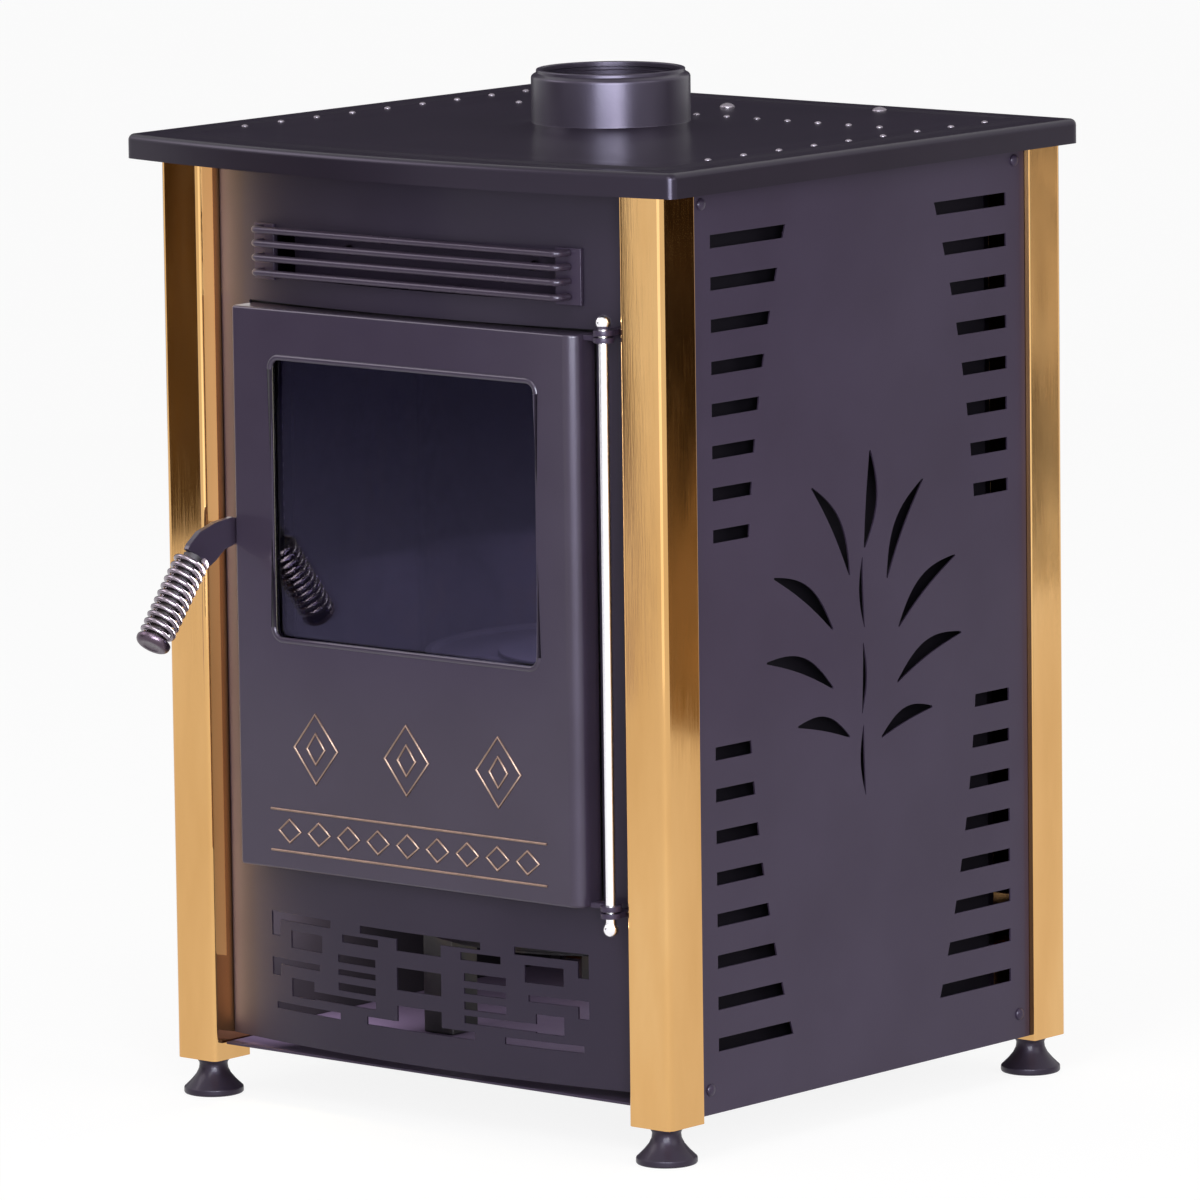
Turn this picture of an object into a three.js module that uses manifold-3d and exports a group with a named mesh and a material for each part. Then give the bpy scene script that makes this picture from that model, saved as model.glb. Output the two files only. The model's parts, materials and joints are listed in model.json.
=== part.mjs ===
// A diesel stove: a sheet-metal cabinet between four corner posts, with a bowed front and lid, a glazed door
// on a front hinge rod, a lift latch with a spring handle, and a pot burner in a round firebox.
// Millimetres, +Z up, +X to the right as seen from the front, the front towards -Y, the floor at z = 0.

import * as THREE from 'three';
import { mergeVertices } from 'three/addons/utils/BufferGeometryUtils.js';
import Module from 'manifold-3d';

const wasm = await Module();
wasm.setup();

// General clearances and sheets
const seatGap = 0.3;
const cutOverrun = 12;
const panelSheet = 1.5;
const heavySheet = 2;
const roundSides = 32;
const smallSides = 12;
const cornerSteps = 3;
const fullTurn = 2 * Math.PI;

// Cabinet, measured over the posts
const cabinetWidth = 500;
const cabinetDepth = 486;
const halfWidth = cabinetWidth / 2;
const halfDepth = cabinetDepth / 2;
const sideRecess = 5;
const rearRecess = 7;
const rearFaceY = halfDepth - rearRecess;

// Feet
const footHeight = 29;
const footBaseRadius = 23.3;
const footBaseEdge = 5;
const footNeckRadius = 11;
const footTopRadius = 12.5;
const footNeckDrop = 5;
const studRadius = 4.5;
const studLength = 10;
const footSides = 16;

// Posts
const postSize = 41;
const postWall = 1.5;
const postEndPlate = 3;
const postCornerRadius = 6;
const postInnerX = halfWidth - postSize;
const postInnerY = halfDepth - postSize;
const postCentreX = halfWidth - postSize / 2;
const postCentreY = halfDepth - postSize / 2;

// Lid
const lidTop = 750;
const lidSkirt = 19;
const lidOverhang = 23;
const lidFrontReach = 12;
const lidBow = 28;
const lidCornerRadius = 5;
const lidHalfWidth = halfWidth + lidOverhang;
const lidFrontY = -halfDepth - lidFrontReach;
const lidUnderside = lidTop - heavySheet;

// Flue collar and flue neck
const collarRadius = 61.5;
const collarHeight = 44;
const collarShoulder = 5;
const collarShoulderShare = 0.3;
const collarRimRadius = 57.5;
const collarBoreRadius = 54;
const spigotRadius = 57;
const spigotDepth = 35;
const neckWall = 2;
const neckRadius = collarBoreRadius - seatGap;
const neckOverlap = 16;

// Bowed front panel
const panelRecess = 23;
const panelBow = 20;
const panelRise = 21;
const panelReturn = 15;
const panelEndY = -halfDepth + panelRecess;
const panelFrontY = panelEndY - panelBow;
const panelBottom = footHeight + panelRise;
const bowSteps = 12;
const frontHalfSpan = postInnerX - seatGap;
const bowRadius = (postInnerX ** 2 + panelBow ** 2) / (2 * panelBow);

// Side panels
const sideRise = 4;
const sideBottom = footHeight + sideRise;
const sideOuterX = halfWidth - sideRecess;
const sideHalfSpan = postInnerY - seatGap;

// Slots of the side panels: rows above and below the middle, cut off on an arc round the motif
const slotMiddleDrop = 2.35;
const slotMiddle = (sideBottom + lidUnderside - seatGap) / 2 - slotMiddleDrop;
const slotStart = 82;
const slotPitch = 31.6;
const slotRows = 8;
const slotHeight = 10;
const slotOuterY = 178.5;
const slotShortest = 39;
const slotArcRadius = 980;

// Leaf spray of the side panels: places as shares of its half width and half height, and for each
// leaf the share of its bend, which is below zero where it bends the other way
const sprigHalfWidth = 118;
const sprigHalfHeight = 129;
const sprigDrop = 3;
const sprigMiddle = slotMiddle - sprigDrop;
const leafLength = 84;
const leafWidth = 12;
const leafBend = 9;
const lowLeafLength = 64;
const lowLeafWidth = 11;
const lowLeafBend = 7;
const tipLeafLength = 74;
const tipLeafWidth = 14;
const tipLeafBend = 6;
const stemLength = 54;
const stemWidth = 5;
const stemBend = 3;
const leafSteps = 6;
const leafPlaceShares = [
  { across: -0.34, up: 0.56, turn: 122, bend: -1 },
  { across: 0.44, up: 0.5, turn: 58, bend: 1 },
  { across: -0.62, up: 0.16, turn: 146, bend: -1 },
  { across: 0.66, up: 0.1, turn: 34, bend: 1 },
  { across: -0.66, up: -0.26, turn: 160, bend: -1 },
  { across: 0.68, up: -0.3, turn: 20, bend: 1 },
];
const lowLeafPlaceShares = [
  { across: -0.42, up: -0.62, turn: 166, bend: -1 },
  { across: 0.44, up: -0.66, turn: 14, bend: 1 },
];
const tipPlaceShares = [
  { across: 0.04, up: 0.72, turn: 84, bend: -1 },
];
const stemPlaceShares = [
  { across: 0, up: 0.17, turn: 92, bend: 1 },
  { across: -0.02, up: -0.34, turn: 88, bend: -1 },
  { across: 0, up: -0.83, turn: 92, bend: 1 },
];

// Back panel
const backSlotLength = 62;
const backSlotHeight = 8;
const backSlotRows = 9;
const backSlotPitch = 24;
const backSlotX = 95;
const backSlotRise = 390;
const backSlotBottom = panelBottom + backSlotRise;

// Base pan and upper tray
const panRise = 13;
const panBottom = footHeight + panRise;
const panFlange = 30;
const panReach = 12;
const trayTop = lidUnderside - seatGap;
const trayFlange = 46;
const flangeX = sideOuterX - panelSheet - seatGap;
const trayHoleGap = 3;
const trayHole = spigotRadius + trayHoleGap;

// Louvre
const louvreHalfWidth = 141;
const louvreHeight = 36;
const louvreDrop = 69;
const louvreTop = lidTop - louvreDrop;
const louvreBottom = louvreTop - louvreHeight;
const stripWidth = 22.5;
const stripBelow = 2;
const stripAbove = 5;
const stripThickness = 3;
const stripBottom = louvreBottom - stripBelow;
const stripTop = louvreTop + stripAbove;
const barRadius = 2.75;
const barStandoff = 5.5;
const barOverlap = 12;
const barBend = 6;
const barHalfSpan = louvreHalfWidth + barOverlap;
const barFrontY = panelFrontY - barStandoff;
const barDropShares = [-1 / 24, 1 / 4, 5 / 9, 7 / 8];
const deflectorOverlap = 9;
const deflectorBehind = 20;
const deflectorBelow = 5;
const deflectorHalfWidth = louvreHalfWidth + deflectorOverlap;
const deflectorY = panelEndY + deflectorBehind;
const deflectorBottom = louvreBottom - deflectorBelow;

// Fretted lower grille
const fretHalfWidth = 160;
const fretRise = 26;
const fretHeight = 76;
const fretBottom = panelBottom + fretRise;
const fretTop = fretBottom + fretHeight;
// Each slot is left, right, top and bottom; every one is cut a second time mirrored left to right
const fretSlotShares = [
  [0, 0.21, 0, 0.08],
  [0, 0.03, 0, 0.25],
  [0.07, 0.18, 0.17, 0.35],
  [0, 0.17, 0.475, 0.54],
  [0, 0.03, 0.475, 0.66],
  [0.07, 0.15, 0.66, 0.85],
  [0.15, 0.36, 0.76, 0.84],
  [0.015, 0.24, 0.93, 1],
  [0.235, 0.36, 0.33, 0.41],
  [0.235, 0.36, 0.48, 0.54],
  [0.235, 0.36, 0.62, 0.7],
  [0.25, 0.37, 0.12, 0.2],
  [0.31, 0.55, 0, 0.08],
  [0.43, 0.55, 0, 0.2],
  [0.43, 0.55, 0.37, 0.6],
  [0.33, 0.55, 0.92, 1],
  [0.43, 0.55, 0.76, 1],
];

// Door
const doorStandoff = 10;
const doorDepth = 24;
const doorSideMargin = 37;
const doorHalfWidth = postInnerX - doorSideMargin;
const doorHeight = 433;
const doorDrop = 21.5;
const doorTop = louvreBottom - doorDrop;
const doorBottom = doorTop - doorHeight;
const doorHingeRadius = 12;
const doorFreeRadius = 3;
const doorGap = 2;
const doorFrontY = panelFrontY - doorStandoff;
const doorBackY = doorFrontY + doorDepth;
const windowSideMargin = 40;
const windowTopMargin = 38.5;
const windowBottomMargin = 179.5;
const windowHalfWidth = doorHalfWidth - windowSideMargin;
const windowBottom = doorBottom + windowBottomMargin;
const windowTop = doorTop - windowTopMargin;
const windowRadius = 8;

// Glass and its holders
const glassOverlap = 10;
const glassThickness = 4;
const gasketThickness = 1.5;
const gasketInset = 1;
const retainerLip = 2;
const retainerPlate = 1.5;
const retainerCover = 8;

// Inner frame, rope seal and firebox mouth
const innerFrameBack = 1;
const mouthSideMargin = 32;
const mouthTopMargin = 23.5;
const mouthBottomMargin = 109.5;
const mouthHalfWidth = doorHalfWidth - mouthSideMargin;
const mouthBottom = doorBottom + mouthBottomMargin;
const mouthTop = doorTop - mouthTopMargin;
const mouthRadius = 10;
const ropeInset = 4;
const ropeWidth = 12;
const sealGap = 9;
const frontFrameY = doorBackY + sealGap;
const frontFrameSheet = 2.5;
const frontFrameMargin = 10.5;
const frontFrameBottom = doorBottom - frontFrameMargin;
const frontFrameTop = doorTop + frontFrameMargin;

// Door hinge
const hingeOut = 23;
const hingeBehind = 7;
const hingeX = doorHalfWidth + hingeOut;
const hingeY = doorFrontY + hingeBehind;
const rodRadius = 4;
const rodBallRadius = 6;
const rodBallOut = 10.5;
const hingeRunning = 0.3;
const lugRadius = 8;
const lugThickness = 4;
const lugInset = 0.5;
const lugHalfWidth = 5;
const lugBehind = 15;
const lugMiddleY = doorFrontY + lugBehind;
const earHalfWidth = 6;

// Latch lever and its pivot, in the plane beside the door's free edge
const leverGap = 1;
const leverThickness = 5;
const leverInnerX = -doorHalfWidth - leverGap;
const leverMiddleX = leverInnerX - leverThickness / 2;
const pivotBehind = 12;
const pivotRise = 258.5;
const pivotY = doorFrontY + pivotBehind;
const pivotZ = doorBottom + pivotRise;
const pinRadius = 3;
const pinHeadRadius = 6;
const pinHead = 2.3;
const tailReach = 38;
const tailStart = 12;
const tailHalfHeight = 6;
const tailEndY = pivotY + tailReach;
const tailTop = pivotZ + tailHalfHeight;
const tailBottom = pivotZ - tailHalfHeight;
const slotSide = 5;
const slotDrop = 21;
const keeperWidth = 24;
const keeperHeight = 9;
const keeperDepth = 12;
const keeperPlay = 2;
const notchAbove = 17;
const notchBelow = 21;
const notchTop = pivotZ + notchAbove;
const notchBottom = pivotZ - notchBelow;

// Lever outline in front of the pivot: [towards the front, up] from the pivot, as shares of its reach
const leverReach = 61;
const leverUpperShares = [
  [0.213, 0.18],
  [0.516, 0.148],
  [0.82, 0.057],
  [1, -0.074],
];
const leverLowerShares = [
  [0.639, -0.393],
  [0.516, -0.328],
  [0.361, -0.213],
  [0.213, -0.18],
];
const handleSeatShare = { ahead: 0.902, up: -0.246, half: 0.18 };

// Spring handle on the lever's end
const handleStartY = pivotY - handleSeatShare.ahead * leverReach;
const handleStartZ = pivotZ + handleSeatShare.up * leverReach;
const handleHalfSeat = handleSeatShare.half * leverReach;
const handleTiltShare = 0.2889;
const handleTilt = Math.PI * handleTiltShare;
const springLength = 74;
const springRadius = 11.75;
const wireRadius = 2.1;
const springTurns = 11;
const springStepsPerTurn = 8;
const springSides = 5;
const coreRadius = 8;
const capRadius = 14;
const capLength = 7;
const capChamfer = 1.5;

// Firebox
const drumRadius = 158;
const drumWall = 2;
const drumRise = 88;
const drumHeadroom = 25;
const drumBottom = panBottom + drumRise;
const drumTop = lidTop - spigotDepth - drumHeadroom;
const tunnelWall = 2;
const tunnelEndShare = 0.25;
const legSize = 30;
const legPlaceShare = 0.6;
const shieldGap = 17;
const shieldY = drumRadius + shieldGap;
const shieldSideGap = 18.5;
const shieldKnobGap = 20;
const shieldStrip = 12;

// Burner
const potGap = 18;
const potHeight = 206;
const potRadius = drumRadius - drumWall - potGap;
const potTop = drumBottom + potHeight;
const potWall = 2;
const potHoleRadius = 4;
const potHoleCount = 8;
const potHoleRiseShares = [0.34, 0.68];
const ringGap = 7;
const ringRadius = drumRadius - drumWall - ringGap;
const ringRimWidth = 6;
const ringRimHeight = 7;
const ringPlate = 3;
const ringInnerRadius = 82;
const flameRingOverlap = 10;
const flameRingRadius = ringInnerRadius + flameRingOverlap;
const flameRingInner = 50;
const flameRingPlate = 3;

// Fuel valve, its pipes and the flow knob
const valveGap = 27;
const valveRise = 33;
const feedPlaceShares = { across: 0.3261, back: 0.8696 };
const valveX = drumRadius + valveGap;
const valveY = potRadius * feedPlaceShares.back;
const valveSize = 50;
const valveBottom = panBottom + valveRise;
const valveHeight = 38;
const valveCoverOut = 2;
const valveCoverHeight = 7;
const valveBossRadius = 12;
const valveBossHeight = 8;
const bracketWidth = 40;
const bracketSheet = 2;
const feedRadius = 4;
const feedRise = 11;
const feedHeight = valveBottom + feedRise;
const feedBend = 18;
const feedEndX = potRadius * feedPlaceShares.across;
const feedIntoPot = 4;
const feedHoleRadius = 6;
const inletAside = 19;
const inletX = valveX - inletAside;
const inletZ = feedHeight;
const inletRadius = 5;
const inletBore = 3;
const inletReach = 18;
const knobAside = 3;
const knobRise = 25;
const knobX = valveX + knobAside;
const knobZ = valveBottom + knobRise;
const knobStemRadius = 4;
const knobRadius = 17;
const knobLength = 16;
const knobChamfer = 2;
const knobStandoff = 5;

// Colours as red, green and blue hex, with roughness and metalness
function finish(color, roughness, metalness) {
  return new THREE.MeshStandardMaterial({ color, roughness, metalness });
}
const finishes = {
  paint: finish(0x4b4350, 0.4, 0.3),
  lidPaint: finish(0x322c38, 0.45, 0.3),
  gold: finish(0xcda064, 0.15, 1),
  foot: finish(0x3c3441, 0.5, 0.1),
  steel: finish(0xc8c8cc, 0.25, 1),
  glass: finish(0x1e1a28, 0.05, 0),
  rope: finish(0x8a857c, 0.9, 0),
  castIron: finish(0x2b2a2c, 0.7, 0.5),
  darkSteel: finish(0x3a393d, 0.6, 0.7),
  copper: finish(0xb87048, 0.3, 1),
  brass: finish(0xb89a58, 0.35, 1),
  knob: finish(0x1c1b1e, 0.5, 0),
};

const stove = new THREE.Group();

// Solids: joins and cuts take geometries or solids, and give a solid

function solidOf(shape) {
  if (!shape.isBufferGeometry) {
    return shape;
  }
  const bare = shape.clone();
  bare.deleteAttribute('normal');
  bare.deleteAttribute('uv');
  const merged = mergeVertices(bare);
  const faces = [];
  for (let first = 0; first < merged.index.count; first += 3) {
    const [a, b, c] = merged.index.array.slice(first, first + 3);
    if (a !== b && b !== c && c !== a) {
      faces.push(a, b, c);
    }
  }
  return new wasm.Manifold(new wasm.Mesh({
    numProp: 3,
    vertProperties: merged.attributes.position.array,
    triVerts: new Uint32Array(faces),
  }));
}

function geometryOf(shape) {
  if (shape.isBufferGeometry) {
    return shape;
  }
  const made = shape.getMesh();
  const geometry = new THREE.BufferGeometry();
  geometry.setAttribute('position', new THREE.BufferAttribute(made.vertProperties, 3));
  geometry.setIndex(new THREE.BufferAttribute(made.triVerts, 1));
  geometry.computeVertexNormals();
  return geometry;
}

function join(...shapes) {
  return shapes.map(solidOf).reduce((whole, piece) => whole.add(piece));
}

function cut(shape, ...tools) {
  return tools.map(solidOf).reduce((whole, tool) => whole.subtract(tool), solidOf(shape));
}

function addPiece(name, shape, material) {
  const piece = new THREE.Mesh(geometryOf(shape), material);
  piece.name = name;
  stove.add(piece);
  return piece;
}

function block(x0, x1, y0, y1, z0, z1) {
  const geometry = new THREE.BoxGeometry(x1 - x0, y1 - y0, z1 - z0);
  return geometry.translate((x0 + x1) / 2, (y0 + y1) / 2, (z0 + z1) / 2);
}

// Outlines: corners as [x, y, radius], the rounded ones turned into short straight steps

function roundCorners(corners) {
  const points = [];
  corners.forEach(([x, y, radius = 0], index) => {
    const corner = new THREE.Vector2(x, y);
    if (radius === 0) {
      points.push(corner);
      return;
    }
    const last = corners.at(index - 1);
    const next = corners[(index + 1) % corners.length];
    const back = new THREE.Vector2(last[0], last[1]).sub(corner).normalize();
    const ahead = new THREE.Vector2(next[0], next[1]).sub(corner).normalize();
    const half = Math.acos(back.dot(ahead)) / 2;
    const start = corner.clone().addScaledVector(back, radius / Math.tan(half));
    const end = corner.clone().addScaledVector(ahead, radius / Math.tan(half));
    const middle = back.clone().add(ahead).normalize().multiplyScalar(radius / Math.sin(half)).add(corner);
    const turn = start.clone().sub(middle).angle();
    const sweep = end.clone().sub(middle).angle() - turn;
    const shortSweep = sweep - fullTurn * Math.round(sweep / fullTurn);
    for (let step = 0; step <= cornerSteps; step += 1) {
      const angle = turn + (shortSweep * step) / cornerSteps;
      points.push(new THREE.Vector2(Math.cos(angle), Math.sin(angle)).multiplyScalar(radius).add(middle));
    }
  });
  return points;
}

function rectangle(x0, x1, y0, y1, radius = 0) {
  return roundCorners([[x0, y0, radius], [x1, y0, radius], [x1, y1, radius], [x0, y1, radius]]);
}

function anticlockwise(outline) {
  return THREE.ShapeUtils.isClockWise(outline) ? [...outline].reverse() : outline;
}

function extrude(outline, holes, length) {
  const shape = new THREE.Shape(anticlockwise(outline));
  shape.holes = holes.map((hole) => new THREE.Path(anticlockwise(hole)));
  return new THREE.ExtrudeGeometry(shape, { depth: length, bevelEnabled: false });
}

function alongZ(outline, z0, z1, holes = []) {
  return extrude(outline, holes, z1 - z0).translate(0, 0, z0);
}

// The outline is drawn in x and z
function alongY(outline, y0, y1, holes = []) {
  return extrude(outline, holes, y1 - y0).rotateX(Math.PI / 2).translate(0, y1, 0);
}

// The outline is drawn in y and z
function alongX(outline, x0, x1, holes = []) {
  const turned = new THREE.Matrix4().makeBasis(
    new THREE.Vector3(0, 1, 0),
    new THREE.Vector3(0, 0, 1),
    new THREE.Vector3(1, 0, 0),
  );
  return extrude(outline, holes, x1 - x0).applyMatrix4(turned).translate(x0, 0, 0);
}

// A turned piece about Z from its profile of [radius, height] points, on the axis at both ends or closed
function turned(profile, sides = roundSides) {
  const loop = profile[0][0] === 0 ? profile : [...profile, profile[0]];
  const points = loop.map(([radius, height]) => new THREE.Vector2(radius, height));
  return new THREE.LatheGeometry(points, sides).rotateX(Math.PI / 2);
}

function rod(radius, z0, z1, sides = smallSides) {
  return new THREE.CylinderGeometry(radius, radius, z1 - z0, sides)
    .rotateX(Math.PI / 2)
    .translate(0, 0, (z0 + z1) / 2);
}

// A closed round tube through points, with flat ends square to its first and last run
function tube(points, radius, sides) {
  const positions = [];
  const faces = [];
  const tangents = points.map((point, index) => {
    const ahead = points[Math.min(index + 1, points.length - 1)];
    const behind = points[Math.max(index - 1, 0)];
    return ahead.clone().sub(behind).normalize();
  });
  const upright = Math.abs(tangents[0].z) < Math.SQRT1_2 ? new THREE.Vector3(0, 0, 1) : new THREE.Vector3(1, 0, 0);
  let side = upright.clone().cross(tangents[0]).normalize();
  points.forEach((point, index) => {
    side = side.addScaledVector(tangents[index], -side.dot(tangents[index])).normalize();
    const other = tangents[index].clone().cross(side);
    for (let corner = 0; corner < sides; corner += 1) {
      const angle = (fullTurn * corner) / sides;
      const place = point.clone()
        .addScaledVector(side, radius * Math.cos(angle))
        .addScaledVector(other, radius * Math.sin(angle));
      positions.push(place.x, place.y, place.z);
    }
    side = side.clone();
  });
  for (let ring = 0; ring < points.length - 1; ring += 1) {
    for (let corner = 0; corner < sides; corner += 1) {
      const here = ring * sides + corner;
      const beside = ring * sides + ((corner + 1) % sides);
      faces.push(here, beside, beside + sides, here, beside + sides, here + sides);
    }
  }
  const lastRing = (points.length - 1) * sides;
  for (let corner = 1; corner < sides - 1; corner += 1) {
    faces.push(0, corner + 1, corner);
    faces.push(lastRing, lastRing + corner, lastRing + corner + 1);
  }
  const geometry = new THREE.BufferGeometry();
  geometry.setAttribute('position', new THREE.Float32BufferAttribute(positions, 3));
  geometry.setIndex(faces);
  geometry.computeVertexNormals();
  return geometry;
}

// A route through corner points, each inner corner rounded with the bend radius
function bentRoute(corners, bend, steps = 4) {
  const route = [corners[0]];
  for (let index = 1; index < corners.length - 1; index += 1) {
    const corner = corners[index];
    const start = corner.clone().add(corners[index - 1].clone().sub(corner).setLength(bend));
    const end = corner.clone().add(corners[index + 1].clone().sub(corner).setLength(bend));
    route.push(...new THREE.QuadraticBezierCurve3(start, corner, end).getPoints(steps));
  }
  route.push(corners.at(-1));
  return route;
}

// The bowed front: how far an arc through the posts' inner edges stands forward at x
function bowRise(x) {
  return Math.sqrt(bowRadius ** 2 - x ** 2) - (bowRadius - panelBow);
}

function panelFaceY(x) {
  return panelEndY - bowRise(x);
}

// A band that follows the bow between two x, from outer to inner shifted from the panel's outer face
function bowBand(x0, x1, outerShift, innerShift, z0, z1) {
  const steps = Math.max(2, Math.round((bowSteps * (x1 - x0)) / (2 * frontHalfSpan)));
  const places = Array.from({ length: steps + 1 }, (_, step) => x0 + ((x1 - x0) * step) / steps);
  const outer = places.map((x) => new THREE.Vector2(x, panelFaceY(x) + outerShift));
  const inner = places.map((x) => new THREE.Vector2(x, panelFaceY(x) + innerShift)).reverse();
  return alongZ([...outer, ...inner], z0, z1);
}

// Corner posts and feet

function post(sideX, sideY) {
  const outer = sideX * halfWidth;
  const inner = sideX * postInnerX;
  const face = sideY * halfDepth;
  const back = sideY * postInnerY;
  const outline = roundCorners([[outer, face, postCornerRadius], [inner, face], [inner, back], [outer, back]]);
  const wallX = sideX * postWall;
  const wallY = sideY * postWall;
  const hollow = roundCorners([
    [outer - wallX, face - wallY, postCornerRadius - postWall],
    [inner + wallX, face - wallY],
    [inner + wallX, back + wallY],
    [outer - wallX, back + wallY],
  ]);
  const top = lidUnderside - seatGap;
  const shell = alongZ(outline, footHeight, top, [hollow]);
  const stud = rod(studRadius + seatGap, footHeight - cutOverrun, footHeight + cutOverrun)
    .translate(sideX * postCentreX, sideY * postCentreY, 0);
  const plate = cut(alongZ(outline, footHeight, footHeight + postEndPlate), stud);
  return join(shell, plate);
}

function foot(sideX, sideY) {
  const top = footHeight - seatGap;
  const profile = [
    [0, 0],
    [footBaseRadius, 0],
    [footBaseRadius, footBaseEdge],
    [footNeckRadius, top - footNeckDrop],
    [footTopRadius, top],
    [studRadius, top],
    [studRadius, footHeight + studLength],
    [0, footHeight + studLength],
  ];
  return turned(profile, footSides).translate(sideX * postCentreX, sideY * postCentreY, 0);
}

// Base pan and upper tray: plates notched round the posts, with side and rear flanges; the pan's front edge
// is straight, the tray's follows the bow

function notchedPlate(frontEdge, z0, z1, holes = []) {
  const notchX = frontHalfSpan - panelSheet - seatGap;
  const notchY = sideHalfSpan - panelSheet - seatGap;
  const rearY = rearFaceY - panelSheet - seatGap;
  const rest = [
    [notchX, -notchY], [flangeX, -notchY], [flangeX, notchY], [notchX, notchY], [notchX, rearY],
    [-notchX, rearY], [-notchX, notchY], [-flangeX, notchY], [-flangeX, -notchY], [-notchX, -notchY],
  ].map(([x, y]) => new THREE.Vector2(x, y));
  return alongZ([...frontEdge, ...rest], z0, z1, holes);
}

function flanges(z0, z1) {
  const notchX = frontHalfSpan - panelSheet - seatGap;
  const notchY = sideHalfSpan - panelSheet - seatGap;
  const rearY = rearFaceY - panelSheet - seatGap;
  return [
    block(-flangeX, -flangeX + panelSheet, -notchY, notchY, z0, z1),
    block(flangeX - panelSheet, flangeX, -notchY, notchY, z0, z1),
    block(-notchX, notchX, rearY - panelSheet, rearY, z0, z1),
  ];
}

function basePan() {
  const notchX = frontHalfSpan - panelSheet - seatGap;
  const frontEdge = [-notchX, notchX].map((x) => new THREE.Vector2(x, panelEndY - panReach));
  const plate = notchedPlate(frontEdge, panBottom, panBottom + heavySheet);
  return join(plate, ...flanges(panBottom, panBottom + panFlange));
}

function upperTray() {
  const notchX = frontHalfSpan - panelSheet - seatGap;
  const frontShift = panelSheet + seatGap;
  const hole = roundHole(trayHole);
  const frontEdge = Array.from({ length: bowSteps + 1 }, (_, step) => {
    const x = -notchX + (2 * notchX * step) / bowSteps;
    return new THREE.Vector2(x, panelFaceY(x) + frontShift);
  });
  const plate = notchedPlate(frontEdge, trayTop - panelSheet, trayTop, [hole]);
  const front = bowBand(-notchX, notchX, frontShift, frontShift + panelSheet, trayTop - trayFlange, trayTop);
  return join(plate, front, ...flanges(trayTop - trayFlange, trayTop));
}

function roundHole(radius) {
  return Array.from({ length: roundSides }, (_, step) => {
    const angle = (fullTurn * step) / roundSides;
    return new THREE.Vector2(radius * Math.cos(angle), radius * Math.sin(angle));
  });
}

// Lid and flue collar

function lidOutline(inset) {
  const reach = lidHalfWidth - inset;
  const front = lidFrontY + inset;
  const radius = (lidHalfWidth ** 2 + lidBow ** 2) / (2 * lidBow);
  const arc = Array.from({ length: bowSteps + 1 }, (_, step) => {
    const x = -reach + (2 * reach * step) / bowSteps;
    const rise = Math.sqrt(radius ** 2 - x ** 2) - (radius - lidBow);
    return [x, front - rise];
  });
  const corner = Math.max(lidCornerRadius - inset, heavySheet);
  arc[0].push(corner);
  arc.at(-1).push(corner);
  return [...arc, [reach, rearFaceY], [-reach, rearFaceY]];
}

function topPlate() {
  const whole = alongZ(roundCorners(lidOutline(0)), lidTop - lidSkirt, lidTop);
  const underside = alongZ(roundCorners(lidOutline(heavySheet)), lidTop - lidSkirt - cutOverrun, lidUnderside);
  const openRear = block(
    -lidHalfWidth + heavySheet, lidHalfWidth - heavySheet,
    0, rearFaceY + cutOverrun,
    lidTop - lidSkirt - cutOverrun, lidUnderside,
  );
  const hole = rod(spigotRadius + seatGap, lidUnderside - cutOverrun, lidTop + cutOverrun, roundSides);
  return cut(whole, underside, openRear, hole);
}

function flueCollar() {
  const top = lidTop + collarHeight;
  const shoulder = collarShoulder * collarShoulderShare;
  return turned([
    [collarBoreRadius, lidTop - spigotDepth],
    [spigotRadius, lidTop - spigotDepth],
    [spigotRadius, lidTop + seatGap],
    [collarRadius, lidTop + seatGap],
    [collarRadius, top - collarShoulder - neckWall],
    [collarRadius - shoulder, top - shoulder - neckWall],
    [collarRimRadius + neckWall, top - neckWall],
    [collarRimRadius, top - neckWall],
    [collarRimRadius, top],
    [collarBoreRadius, top],
  ]);
}

// Front panel, with its returns, the door's aperture, the louvre and the fretted grille

function fretCuts() {
  const width = 2 * fretHalfWidth;
  const front = panelFrontY - cutOverrun;
  const cuts = [];
  fretSlotShares.forEach(([left, right, top, bottom]) => {
    const x0 = -fretHalfWidth + left * width;
    const x1 = -fretHalfWidth + right * width;
    const z0 = fretTop - bottom * fretHeight;
    const z1 = fretTop - top * fretHeight;
    cuts.push(block(x0, x1, front, panelEndY + cutOverrun, z0, z1));
    cuts.push(block(-x1, -x0, front, panelEndY + cutOverrun, z0, z1));
  });
  return cuts;
}

function frontPanel() {
  const top = trayTop;
  const sheet = bowBand(-frontHalfSpan, frontHalfSpan, 0, panelSheet, panelBottom, top);
  const returns = [-1, 1].map((side) => {
    const outer = side * frontHalfSpan;
    const inner = side * (frontHalfSpan - panelSheet);
    const foldY = panelFaceY(frontHalfSpan) + panelSheet / 2;
    return block(Math.min(outer, inner), Math.max(outer, inner), foldY, panelEndY + panelReturn, panelBottom, top);
  });
  const front = panelFrontY - cutOverrun;
  const back = panelEndY + cutOverrun;
  const louvre = block(-louvreHalfWidth, louvreHalfWidth, front, back, louvreBottom, louvreTop);
  const door = block(
    -doorHalfWidth - doorGap, doorHalfWidth + doorGap, front, back, doorBottom - doorGap, doorTop + doorGap,
  );
  const notchX = leverInnerX - leverThickness - slotSide;
  const notch = block(notchX, -doorHalfWidth, front, back, notchBottom, notchTop);
  return cut(join(sheet, ...returns), louvre, door, notch, ...fretCuts());
}

// Side panels: slots cut off on an arc, and a spray of bent leaves in the middle

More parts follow.
